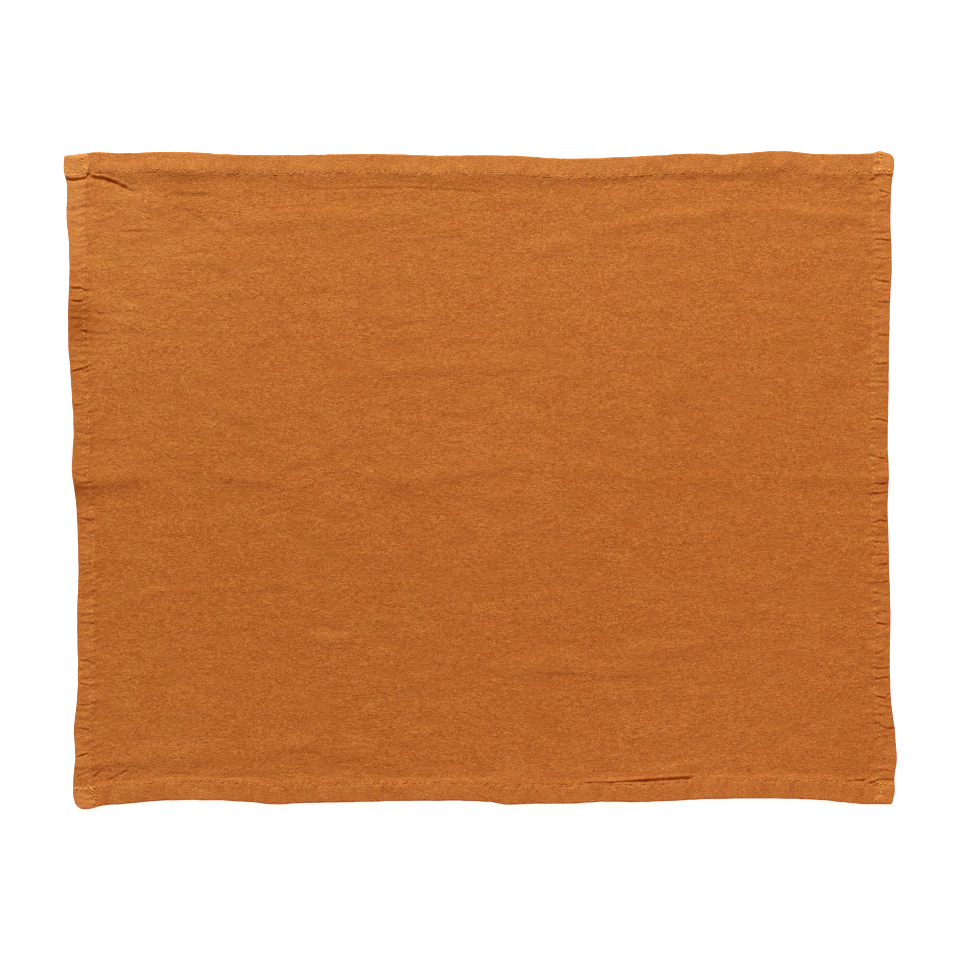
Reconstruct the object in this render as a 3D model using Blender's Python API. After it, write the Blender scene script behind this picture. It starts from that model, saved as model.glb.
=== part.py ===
"""Linen placemat: one hemmed cloth that lies flat, in the folds and puckers it was left with.

Metres, +Z up. X runs along the long sides and Y along the short ones, the hems are turned up to the
+Z side, and the flat underside lies in the plane Z = 0 with the middle of the cloth over the origin.
"""

from typing import NamedTuple

import bmesh
import bpy
import numpy as np

MM = 0.001

# Finished size between the mean lines of the edges, and the cloth's thickness.
LENGTH = 500 * MM
WIDTH = 397 * MM
CLOTH_THICKNESS = 1.1 * MM

# The turned hems: each is two more layers on top of the cloth, held by a row of stitches.
LONG_HEM_DEPTH = 12.7 * MM
SHORT_HEM_DEPTH = 11.4 * MM
HEM_RISE = 1.15 * MM
CORNER_RISE = 1.75 * MM
SEAM_INSET = 1.6 * MM
SEAM_DIP = 0.3 * MM
SEAM_HALF_WIDTH = 0.9 * MM
HEM_STEP = 1.7 * MM
EDGE_ROUND = 2.2 * MM
EDGE_DROP = 0.75 * MM

# The hollow that runs beside each hem, where the single cloth comes out from under it.
HOLLOW_INSET = 3.4 * MM
HOLLOW_HALF_WIDTH = 3.6 * MM
HOLLOW_DEPTH = 0.25 * MM

# Folds and puckers: how far a fold takes to fade in at its ends, how far a pucker reaches past
# its hem's depth, as shares of that depth, and the least thickness that they leave.
FOLD_FADE = 14 * MM
PUCKER_FULL = 0.8
PUCKER_GONE = 1.8
THINNEST = 0.8 * MM

# The mesh's grid, in millimetres: wide over the plain cloth, close over the hems, where the lines are
# counted in from an edge, and over the packing fold, where they are counted from the middle.
PITCH = 8.2
HEM_LINES = [0.0, 0.7, 2.2, 5.0, 8.0, 9.8, 11.2, 12.9, 14.4, 16.6, 19.5, 23.5, 29.0]
FOLD_LINES = [-10.5, -7.2, -4.4, -2.0, 0.4, 2.6, 5.2, 8.6]
LEAST_GAP = 3.0

FINISH_NAME = "rust orange linen"
FINISH_COLOUR = (0.507, 0.145, 0.027, 1.0)
FINISH_ROUGHNESS = 0.88


class EdgePoint(NamedTuple):
    """One point that an edge passes through, in millimetres."""

    along: float
    out: float


class Bulge(NamedTuple):
    """A short swelling of an edge at a corner, in millimetres."""

    along: float
    out: float
    half_width: float


class Fold(NamedTuple):
    """One soft ridge in the cloth, or a trough where its rise is negative, in millimetres."""

    from_x: float
    from_y: float
    to_x: float
    to_y: float
    bow: float
    half_width: float
    rise: float


class Pucker(NamedTuple):
    """A pinch across a hem: how far along it, and its half width and depth, in millimetres."""

    along: float
    half_width: float
    depth: float


# How far each edge stands out from its mean line. Positive is away from the middle.
BACK_EDGE = [
    EdgePoint(-255, 0.5),
    EdgePoint(-248, 0.7),
    EdgePoint(-238, 1.7),
    EdgePoint(-220, 1.9),
    EdgePoint(-196, 2.6),
    EdgePoint(-171, 2.3),
    EdgePoint(-158, 1.3),
    EdgePoint(-134, 0.7),
    EdgePoint(-61, 1.3),
    EdgePoint(-30, 0.5),
    EdgePoint(24, 0.2),
    EdgePoint(49, -1.3),
    EdgePoint(74, -1.1),
    EdgePoint(100, 0.1),
    EdgePoint(130, 1.6),
    EdgePoint(147, 1.2),
    EdgePoint(189, 3.0),
    EdgePoint(203, 1.7),
    EdgePoint(240, 1.5),
    EdgePoint(252, 1.4),
]
FRONT_EDGE = [
    EdgePoint(-250, 3.2),
    EdgePoint(-239, 3.0),
    EdgePoint(-232, 1.3),
    EdgePoint(-220, 0.3),
    EdgePoint(-196, -1.9),
    EdgePoint(-177, -2.3),
    EdgePoint(-158, -2.0),
    EdgePoint(-140, -1.0),
    EdgePoint(-128, 0.3),
    EdgePoint(-110, -0.3),
    EdgePoint(-61, -1.4),
    EdgePoint(-30, -1.9),
    EdgePoint(5, -1.1),
    EdgePoint(18, 0.5),
    EdgePoint(31, -0.1),
    EdgePoint(56, -0.2),
    EdgePoint(74, -1.1),
    EdgePoint(98, -1.1),
    EdgePoint(147, -3.1),
    EdgePoint(177, -3.3),
    EdgePoint(213, -2.0),
    EdgePoint(231, -0.1),
    EdgePoint(252, 0.2),
]
LEFT_EDGE = [
    EdgePoint(199, 4.7),
    EdgePoint(190, 5.0),
    EdgePoint(183, 3.4),
    EdgePoint(160, 3.3),
    EdgePoint(150, 2.3),
    EdgePoint(136, 1.6),
    EdgePoint(100, 2.4),
    EdgePoint(82, 2.1),
    EdgePoint(62, 0.8),
    EdgePoint(28, -1.0),
    EdgePoint(5, -0.1),
    EdgePoint(-8, -1.9),
    EdgePoint(-36, -3.6),
    EdgePoint(-60, -4.0),
    EdgePoint(-78, -3.3),
    EdgePoint(-134, -3.2),
    EdgePoint(-154, -1.2),
    EdgePoint(-168, -2.0),
    EdgePoint(-183, -0.9),
    EdgePoint(-194, -1.0),
    EdgePoint(-202, -3.4),
]
RIGHT_EDGE = [
    EdgePoint(200, 3.0),
    EdgePoint(194, 3.9),
    EdgePoint(184, 2.6),
    EdgePoint(165, 1.6),
    EdgePoint(150, 1.8),
    EdgePoint(136, 2.4),
    EdgePoint(111, 1.3),
    EdgePoint(54, 0.1),
    EdgePoint(18, -0.3),
    EdgePoint(4, 0.5),
    EdgePoint(-11, -0.6),
    EdgePoint(-46, 0.4),
    EdgePoint(-85, 1.3),
    EdgePoint(-109, 0.7),
    EdgePoint(-138, 2.3),
    EdgePoint(-157, 4.7),
    EdgePoint(-172, 5.3),
    EdgePoint(-182, 4.1),
    EdgePoint(-193, 3.9),
    EdgePoint(-198, 2.6),
]

# The back right corner's hem ends in an ear that stands out behind the back edge.
BACK_EAR = Bulge(245, 1.6, 4.0)

# The fold the cloth was packed in, and the swells and creases around it.
FOLDS = [
    Fold(-266, 1, 266, 1, 0, 5.5, 0.75),
    Fold(-266, 2, -208, 2, 0, 5.0, 0.60),
    Fold(220, 4, 266, 4, 0, 4.5, 0.50),
    Fold(-235, -8, 235, -8, 0, 6.0, -0.30),
    Fold(-148, 157, -38, 156, 2, 7.0, 0.60),
    Fold(30, 137, 240, 160, 14, 8.0, 0.65),
    Fold(-180, 137, -122, 132, 0, 6.5, 0.50),
    Fold(-62, 92, -20, 88, 0, 6.5, 0.40),
    Fold(-42, 77, 37, 66, 0, 7.0, 0.50),
    Fold(-180, 49, -138, 36, 0, 6.5, 0.45),
    Fold(-12, 6, 62, 26, 0, 7.0, 0.45),
    Fold(-236, -78, -82, -61, 2, 5.5, 0.50),
    Fold(-120, -96, -38, -84, 0, 7.0, 0.45),
    Fold(-6, -114, 56, -114, 0, 7.0, 0.40),
    Fold(86, -101, 160, -108, 0, 7.0, 0.45),
    Fold(-165, -161, -80, -161, 0, 7.0, 0.45),
    Fold(-12, -160, 55, -160, 0, 7.0, 0.40),
    Fold(56, -167, 165, -186, 0, 6.5, 0.55),
    Fold(-250, -172, -158, -174, 0, 7.0, 0.45),
    Fold(-250, 193, -204, 179, 1, 3.4, 0.70),
    Fold(-246, 188, -204, 173, 1, 2.6, -0.85),
    Fold(222, 168, 248, 192, 0, 3.0, -0.40),
]

# Pinches across the hems, the deepest of many.
LEFT_PUCKERS = [
    Pucker(172, 3.0, 0.35),
    Pucker(155, 3.2, 0.40),
    Pucker(113, 3.2, 0.40),
    Pucker(67, 3.4, 0.55),
    Pucker(46, 3.0, 0.35),
    Pucker(-6, 4.2, 0.85),
    Pucker(-46, 3.2, 0.40),
    Pucker(-73, 3.2, 0.40),
    Pucker(-115, 3.4, 0.45),
    Pucker(-152, 3.2, 0.45),
    Pucker(-170, 3.2, 0.50),
]
RIGHT_PUCKERS = [
    Pucker(176, 3.2, 0.45),
    Pucker(147, 3.0, 0.35),
    Pucker(120, 3.2, 0.40),
    Pucker(71, 3.2, 0.40),
    Pucker(36, 3.0, 0.35),
    Pucker(-5, 4.0, 0.70),
    Pucker(-46, 3.2, 0.40),
    Pucker(-68, 3.2, 0.35),
    Pucker(-95, 3.2, 0.40),
    Pucker(-133, 3.4, 0.45),
    Pucker(-153, 3.2, 0.40),
    Pucker(-183, 3.2, 0.45),
]
BACK_PUCKERS = [
    Pucker(-206, 3.6, 0.35),
    Pucker(-158, 4.0, 0.45),
    Pucker(-96, 4.0, 0.35),
    Pucker(-24, 4.0, 0.40),
    Pucker(49, 4.4, 0.50),
    Pucker(112, 4.0, 0.40),
    Pucker(147, 4.0, 0.40),
    Pucker(203, 4.0, 0.50),
]
FRONT_PUCKERS = [
    Pucker(-228, 4.0, 0.45),
    Pucker(-177, 4.4, 0.40),
    Pucker(-140, 4.0, 0.40),
    Pucker(-60, 4.0, 0.35),
    Pucker(4, 4.4, 0.60),
    Pucker(72, 4.4, 0.50),
    Pucker(126, 4.0, 0.40),
    Pucker(220, 4.4, 0.50),
]


def clear_scene():
    """Empty the scene of every object."""
    for thing in list(bpy.data.objects):
        bpy.data.objects.remove(thing, do_unlink=True)


def ease(start, end, value):
    """Rise smoothly from 0 at start to 1 at end."""
    share = np.clip((value - start) / (end - start), 0, 1)
    return share * share * (3 - 2 * share)


def hump(distance, half_width):
    """A bell that is 1 at no distance and has almost gone at twice its half width."""
    return np.exp(-((distance / half_width) ** 2))


def edge_line(points, along):
    """How far out the edge lies at each place along it: a smooth curve through the edge's points."""
    rows = sorted((row.along * MM, row.out * MM) for row in points)
    at = np.array([row[0] for row in rows])
    out = np.array([row[1] for row in rows])
    slope = np.gradient(out, at)
    place = np.clip(along, at[0], at[-1])
    left = np.clip(np.searchsorted(at, place) - 1, 0, len(at) - 2)
    gap = at[left + 1] - at[left]
    t = (place - at[left]) / gap
    start = out[left] * (1 + 2 * t) * (1 - t) ** 2 + out[left + 1] * t**2 * (3 - 2 * t)
    turn = slope[left] * t * (1 - t) ** 2 - slope[left + 1] * t**2 * (1 - t)
    return start + gap * turn


def grid_lines(side, middle_lines):
    """Where the grid's lines run across the cloth, from one edge to the other."""
    hem = [inset * MM - side / 2 for inset in HEM_LINES]
    close = [place * MM for place in middle_lines]
    steps = round(-2 * hem[-1] / (PITCH * MM))
    wide = [
        place
        for place in np.linspace(hem[-1], -hem[-1], steps + 1)[1:-1]
        if all(abs(place - other) > LEAST_GAP * MM for other in close)
        and not (close and close[0] < place < close[-1])
    ]
    return np.array(sorted([*hem, *wide, *close, *(-place for place in hem)]))


def outline_shift(across, up):
    """Move the flat rectangle's points so that its edges lie on the four edge lines."""
    right_share = across / LENGTH + 0.5
    back_share = up / WIDTH + 0.5
    x, y = across, up
    for _ in range(2):
        left, right = edge_line(LEFT_EDGE, y), edge_line(RIGHT_EDGE, y)
        x = across + right * right_share - left * (1 - right_share)
        back, front = edge_line(BACK_EDGE, x), edge_line(FRONT_EDGE, x)
        y = up + back * back_share - front * (1 - back_share)
    ear = BACK_EAR.out * MM * hump(x - BACK_EAR.along * MM, BACK_EAR.half_width * MM)
    return x, y + ear * ease(LONG_HEM_DEPTH, 0, WIDTH / 2 - up)


def hem_band(inset, depth):
    """1 on a hem that is so deep, 0 on the single cloth inside it."""
    return ease(depth + HEM_STEP, depth, inset)


def pucker_depth(puckers, along, inset, depth):
    """How deep the pinches across one hem are. Each fades out just inside the hem."""
    total = sum(row.depth * MM * hump(along - row.along * MM, row.half_width * MM) for row in puckers)
    return total * ease(depth * PUCKER_GONE, depth * PUCKER_FULL, inset)


def fold_height(fold, x, y):
    """What one fold adds at each point. It bows sideways in its middle and fades towards its ends."""
    start = np.array([fold.from_x, fold.from_y]) * MM
    run = np.array([fold.to_x, fold.to_y]) * MM - start
    length = np.hypot(*run)
    along = ((x - start[0]) * run[0] + (y - start[1]) * run[1]) / length
    across = ((y - start[1]) * run[0] - (x - start[0]) * run[1]) / length
    across = across - fold.bow * MM * (1 - (2 * along / length - 1) ** 2)
    fade = ease(0, FOLD_FADE, along) * ease(length, length - FOLD_FADE, along)
    return fold.rise * MM * hump(across, fold.half_width * MM) * fade


def top_height(across, up, x, y):
    """Height of the upper face over the flat underside."""
    long_inset = WIDTH / 2 - np.abs(up)
    short_inset = LENGTH / 2 - np.abs(across)
    long_hem = hem_band(long_inset, LONG_HEM_DEPTH)
    short_hem = hem_band(short_inset, SHORT_HEM_DEPTH)
    both = long_hem * short_hem
    height = CLOTH_THICKNESS + HEM_RISE * (long_hem + short_hem - both)
    height = height + (CORNER_RISE - HEM_RISE) * both
    for inset, depth in ((long_inset, LONG_HEM_DEPTH), (short_inset, SHORT_HEM_DEPTH)):
        height = height - SEAM_DIP * hump(inset - (depth - SEAM_INSET), SEAM_HALF_WIDTH)
        height = height - HOLLOW_DEPTH * hump(inset - (depth + HOLLOW_INSET), HOLLOW_HALF_WIDTH)
        height = height - EDGE_DROP * ease(EDGE_ROUND, 0, inset)
    for puckers, along, inset, depth in (
        (LEFT_PUCKERS, up, across + LENGTH / 2, SHORT_HEM_DEPTH),
        (RIGHT_PUCKERS, up, LENGTH / 2 - across, SHORT_HEM_DEPTH),
        (BACK_PUCKERS, across, WIDTH / 2 - up, LONG_HEM_DEPTH),
        (FRONT_PUCKERS, across, up + WIDTH / 2, LONG_HEM_DEPTH),
    ):
        height = height - pucker_depth(puckers, along, inset, depth)
    for fold in FOLDS:
        height = height + fold_height(fold, x, y)
    return np.maximum(height, THINNEST)


def linen():
    """Piece-dyed linen, matt and a little dry."""
    finish = bpy.data.materials.new(FINISH_NAME)
    finish.use_nodes = True
    shader = finish.node_tree.nodes["Principled BSDF"]
    shader.inputs["Base Color"].default_value = FINISH_COLOUR
    shader.inputs["Roughness"].default_value = FINISH_ROUGHNESS
    shader.inputs["Metallic"].default_value = 0.0
    finish.diffuse_color = FINISH_COLOUR
    return finish


def cloth_mesh():
    """One closed body: the uneven upper face, a low wall round its edge and a flat underside."""
    columns = grid_lines(LENGTH, [])
    rows = grid_lines(WIDTH, FOLD_LINES)
    across, up = np.meshgrid(columns, rows, indexing="ij")
    x, y = outline_shift(across, up)
    x = x - (x.min() + x.max()) / 2
    y = y - (y.min() + y.max()) / 2
    z = top_height(across, up, x, y)
    sheet = bmesh.new()
    top = [[sheet.verts.new(point) for point in zip(*line)] for line in zip(x, y, z)]
    for i in range(len(columns) - 1):
        for j in range(len(rows) - 1):
            sheet.faces.new((top[i][j], top[i + 1][j], top[i + 1][j + 1], top[i][j + 1]))
    rim = [line[0] for line in top] + top[-1][1:]
    rim += [line[-1] for line in top[-2::-1]] + top[0][-2:0:-1]
    foot = [sheet.verts.new((vert.co.x, vert.co.y, 0.0)) for vert in rim]
    for i, vert in enumerate(rim):
        sheet.faces.new((vert, foot[i], foot[(i + 1) % len(foot)], rim[(i + 1) % len(rim)]))
    sheet.faces.new(foot[::-1])
    mesh = bpy.data.meshes.new("placemat_cloth")
    sheet.to_mesh(mesh)
    sheet.free()
    return mesh


def main():
    """Make the placemat."""
    clear_scene()
    mesh = cloth_mesh()
    mesh.materials.append(linen())
    mesh.shade_smooth()
    bpy.context.scene.collection.objects.link(bpy.data.objects.new("placemat_cloth", mesh))


main()
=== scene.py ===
"""Looks of the hemmed linen placemat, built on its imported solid.

The cloth lies flat with the hems turned up. Metres, X along the long sides, Y from front to back, Z up.
"""

import logging
import math
from dataclasses import dataclass
from enum import Enum
from typing import Callable, Iterable, NamedTuple

import bmesh
import bpy
import numpy as np
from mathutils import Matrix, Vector, noise


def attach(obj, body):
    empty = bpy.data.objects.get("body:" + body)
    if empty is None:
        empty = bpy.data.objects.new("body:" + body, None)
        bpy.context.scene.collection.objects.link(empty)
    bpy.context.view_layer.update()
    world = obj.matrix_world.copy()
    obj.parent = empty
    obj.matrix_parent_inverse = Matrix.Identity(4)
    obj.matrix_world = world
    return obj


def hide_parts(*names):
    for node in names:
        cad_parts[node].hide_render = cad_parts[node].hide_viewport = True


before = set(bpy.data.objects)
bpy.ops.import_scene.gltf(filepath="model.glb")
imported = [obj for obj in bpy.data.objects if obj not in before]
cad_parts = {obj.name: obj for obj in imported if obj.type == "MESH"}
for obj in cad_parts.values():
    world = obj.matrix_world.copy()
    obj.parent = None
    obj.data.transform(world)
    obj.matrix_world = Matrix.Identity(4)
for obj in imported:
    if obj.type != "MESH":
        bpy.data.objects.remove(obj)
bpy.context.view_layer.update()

log = logging.getLogger("placemat")

MM = 0.001
IMAGE_SIDE = 960
MM_PER_PIXEL = 0.6127
STITCH_PITCH = 2.87 * MM
LIP_GAIN = 2.33

Grid = np.ndarray
Socket = bpy.types.NodeSocket
Tree = bpy.types.NodeTree
Material = bpy.types.Material
Piece = bpy.types.Object
Ends = tuple[float, float, float, float]


class Side(Enum):
    """The four sides of the mat: name, whether it is long, which way is out, and its own patterns."""

    BACK = ("back", True, 1, 4)
    FRONT = ("front", True, -1, 5)
    LEFT = ("left", False, -1, 4)
    RIGHT = ("right", False, 1, 5)

    def __init__(self, label: str, is_long: bool, outward: int, pattern: int) -> None:
        """Name the side's values."""
        self.label, self.is_long, self.outward, self.pattern = label, is_long, outward, pattern


class EdgePoint(NamedTuple):
    """One point of a line beside an edge, in millimetres."""

    along: float
    out: float


class Fold(NamedTuple):
    """One ridge, or a trough where its rise is negative, in millimetres.

    Its front side is as many times wider than its back as its last value says.
    """

    from_x: float
    from_y: float
    to_x: float
    to_y: float
    rise: float
    half_width: float = 0.92
    bow: float = 0.0
    front: float = 1.0


class Patch(NamedTuple):
    """A round part of the cloth: its middle and half width in millimetres, and its gain."""

    x: float
    y: float
    half_width: float
    gain: float


class Corner(NamedTuple):
    """A corner's block, in millimetres: its rounding from above, its height over the hem, and its rubbing."""

    round: float
    rise: float
    rub: float


class Tack(NamedTuple):
    """A short row of close stitches that locks a seam's end, in millimetres along and in from the edge."""

    from_along: float
    from_inset: float
    to_along: float
    to_inset: float


class Pucker(NamedTuple):
    """A pinch across a hem: its place, soft half width and depth, sharp crease and slant, in millimetres."""

    along: float
    half_width: float
    depth: float
    crease: float
    slant: float


class Swell(NamedTuple):
    """One pattern of soft unevenness: the size of its swells in millimetres, and its number."""

    across: float
    up: float
    number: float


def line(*points: tuple[float, float]) -> list[EdgePoint]:
    """Name the columns of a line beside an edge."""
    return [EdgePoint(*point) for point in points]


def folds(*rows: tuple[float, ...]) -> list[Fold]:
    """Name the columns of a table of folds."""
    return [Fold(*row) for row in rows]


def pinches(*rows: tuple[float, ...]) -> list[Pucker]:
    """Name the columns of a table of pinches."""
    return [Pucker(*row) for row in rows]


# The tables below have the columns of EdgePoint, Fold, Patch, Pucker, Corner, Tack and Swell, in their order.
# A fold's last columns may be left out, for a thin, straight one that is as steep behind as in front.

# How far each edge stands out from its mean line. Positive is away from the middle.
EDGES = {
    Side.BACK: line(
        (-255, 0.5), (-245, 0.8), (-241.4, 1.7), (-220, 1.9), (-196, 2.6), (-171, 2.3), (-158, 1.3),
        (-134, 0.7), (-61, 1.3), (-30, 0.5), (24, 0.2), (49, -1.3), (74, -1.1), (100, 0.1), (130, 1.6),
        (147, 1.2), (189, 3), (203, 1.7), (240, 1.5), (252, 1.4),
    ),
    Side.FRONT: line(
        (-250, 3.2), (-239, 3), (-232, 1.3), (-220, 0.3), (-196, -1.9), (-177, -2.3), (-158, -2),
        (-140, -1), (-128, 0.3), (-110, -0.3), (-61, -1.4), (-30, -1.9), (5, -1.1), (18, 0.5), (31, -0.1),
        (56, -0.2), (74, -1.1), (98, -1.1), (147, -3.1), (177, -3.3), (213, -2), (231, -0.1), (252, 0.2),
    ),
    Side.LEFT: line(
        (199, 4.7), (190, 5), (183, 3.4), (160, 3.3), (150, 2.3), (136, 1.6), (100, 2.4), (82, 2.1),
        (62, 0.8), (28, -1), (5, -0.1), (-8, -1.9), (-36, -3.6), (-60, -4), (-78, -3.3), (-134, -3.2),
        (-154, -1.2), (-168, -2), (-183, -0.9), (-194, -1), (-202, -3.4),
    ),
    Side.RIGHT: line(
        (200, 3), (194, 3.9), (184, 2.6), (165, 1.6), (150, 1.8), (136, 2.4), (111, 1.5), (54, 0.4),
        (18, 0), (4, 0.6), (-11, 0), (-46, 0.7), (-85, 1.6), (-109, 1.3), (-138, 2.3), (-157, 4.7),
        (-172, 5.3), (-182, 4.1), (-193, 3.9), (-198, 2.6),
    ),
}

# The fold the cloth was packed in, and the swells around it.
FOLDS = folds(
    (-270, -2.5, -204, 1, 1.8, 9, 0, 0.55), (-236, 1, -190, 0, 0.45, 6, 0, 0.6),
    (-170, 2, -122, 0, 0.42, 6, 0, 0.5), (-80, 0, -28, -2, 0.42, 7, 0, 0.5),
    (-64, 1, -6, 3, 0.36, 3.6, 0, 1.6), (-16, 4, 54, 21, 0.5, 4, 0, 1.6), (54, 5, 84, 4, 0.35, 5, 0, 0.6),
    (86, -1, 160, 0, 0.45, 3.5, 0, 1.5), (180, 0, 268, 1.5, 0.55, 3.5, 0, 1.5),
    (236, 0, 268, 1, 0.6, 4, 0, 0.8), (-152, 155, -36, 161, 0.6, 5, 2),
    (-40, 152, -2, 155, 0.35, 5, 0, 0.6), (28, 139, 245, 158, 0.6, 4, 15, 1.5),
    (-200, 133, -128, 138, 0.5, 3.5, 0, 1.5), (-105, 102, -30, 100, 0.4, 6, 0, 0.6),
    (-70, 68, 32, 70, 0.42, 5.5, 0, 0.9), (-180, 49, -138, 36, 0.4, 5.5), (105, 55, 145, 57, 0.3, 4, 0, 2),
    (-224, -73, -108, -64, 0.34, 2.6, 2), (-114, -99, -68, -94, 0.42, 3.2), (-72, -88, -38, -85, 0.36, 3.2),
    (4, -112, 60, -110, 0.42, 3.5, 0, 2), (84, -105, 148, -101, 0.48, 3.2, 0, 2),
    (0, -117, 118, -117, 0.38, 6, 0, 0.6), (-260, -175, -156, -171, 0.85, 9, 0, 0.36),
    (-138, -166, -97, -163, 0.52, 6, 0, 0.45), (-99, -167, -60, -170, 0.42, 6, 0, 0.5),
    (-56, -162, -3, -161, 0.36, 3.5, 0, 2), (5, -182, 66, -180, 0.35, 5),
    (98, -179, 156, -171, 0.6, 3.4, 0, 1.6), (62, 174, 106, 174, 0.35, 4.5, 0, 1.5),
    (-238, 189, -158, 187, 0.85, 8), (-128, 186, 46, 186, 0.4, 7, 0, 1.3),
    (-246, 188, -204, 173, -0.6, 2.6, 1), (-236, 170, -186, 166, 0.45, 4, 2, 1.2),
    (222, 168, 248, 192, -0.4, 3),
)

# Sharp creases: the cloth stands up behind each line and dips in front of it.
CREASES = folds(
    (-239, 186.7, -225, 184, 1.05, 1.1), (-228, 184.6, -219, 182.4, 0.25, 0.8),
    (-227.6, 184.4, -211.5, 176.8, 0.95, 0.8, 0.3), (-233.4, 127.4, -218.5, 105.6, 0.12, 1.2),
    (-222, 152.3, -200, 153.2, 0.38, 1, 0.3), (-224, 164.2, -207, 165, 0.1, 0.9),
    (-187, 137.7, -168, 141.2, 0.36, 1.2), (-160, 181, -152, 173, 0.12, 1.2),
    (-104, 178.4, -33, 179.2, 0.2, 1, 0.3), (-38, 179, 2, 176.6, 0.14, 1.2, 0.3),
    (-192, 176.4, -163, 175.4, 0.26, 2, -0.6), (-182, 168, -155, 148.6, 0.54, 2),
    (-188, 136.9, -159, 142.2, 0.12, 1.2), (-240, 164.6, -230, 162.8, 0.2, 0.9),
    (-212, -184.4, -201, -183.2, 0.34, 0.7), (-193, -179.2, -174, -180, 0.22, 0.9, 0.4),
    (-119, -163.6, -101, -167.6, 0.14, 1), (-86, -180.8, -64, -183.8, 0.16, 0.8),
    (63, -185, 84, -185.6, 0.8, 1.1), (78, -185.8, 103, -183.2, 1.1, 1.2),
    (97, -183.9, 131, -181.4, 0.8, 1.1), (202, -181, 206.5, -184.4, 0.28, 0.7),
    (6, 30.4, 15, 30.7, 0.1, 1.4), (-118, 113, -92, 116, 0.12, 1.6), (-58, 92.4, -35, 97.6, 0.36, 1.4, 0.5),
    (-160, -35, -120, -31, 0.1, 1.6), (40, -118, 92, -121, 0.12, 1.8), (-236, 157.6, -222, 161.8, 0.38, 1),
    (-130, 165.6, -102, 169.2, 0.21, 1.2), (-104, 166, -82, 173.4, 0.17, 1.6),
    (-80, 151.2, -58, 153.2, 0.14, 1.2), (-44, 146.2, -6, 149.6, 0.16, 1.3, 0.4),
    (-204, 104.8, -190, 99, 0.16, 1.6), (-164, 111.6, -148, 104.6, 0.14, 1.8),
    (58, -124.2, 84, -122.6, 0.16, 1.2, 0.3), (118, -128.6, 162, -121.8, 0.14, 1.3, 0.4),
    (-6, -93.4, 14, -90.2, 0.13, 1.3), (190, -151.4, 208, -148.6, 0.14, 1.2),
    (100, 118.2, 132, 121.6, 0.11, 1.4), (160, 92.4, 196, 95.8, 0.1, 1.4),
    (-150, -70.2, -118, -66.8, 0.1, 1.4),
)

# Creases in the hems' own cloth.
HEM_CREASES = folds(
    (-258, 187.2, -240, 185.8, 0.9, 1, -2), (-241.1, 184.6, -242, 200.5, 0.45, 1.2, -3),
    (-246, 183.8, -237, 188.4, 0.35, 0.8), (-195.5, 199.5, -188.5, 196.6, 0.12, 0.7),
    (-9, -187.4, 6, -197, 0.22, 0.9), (69, -192.6, 77, -192.6, 0.16, 0.7),
)

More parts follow.
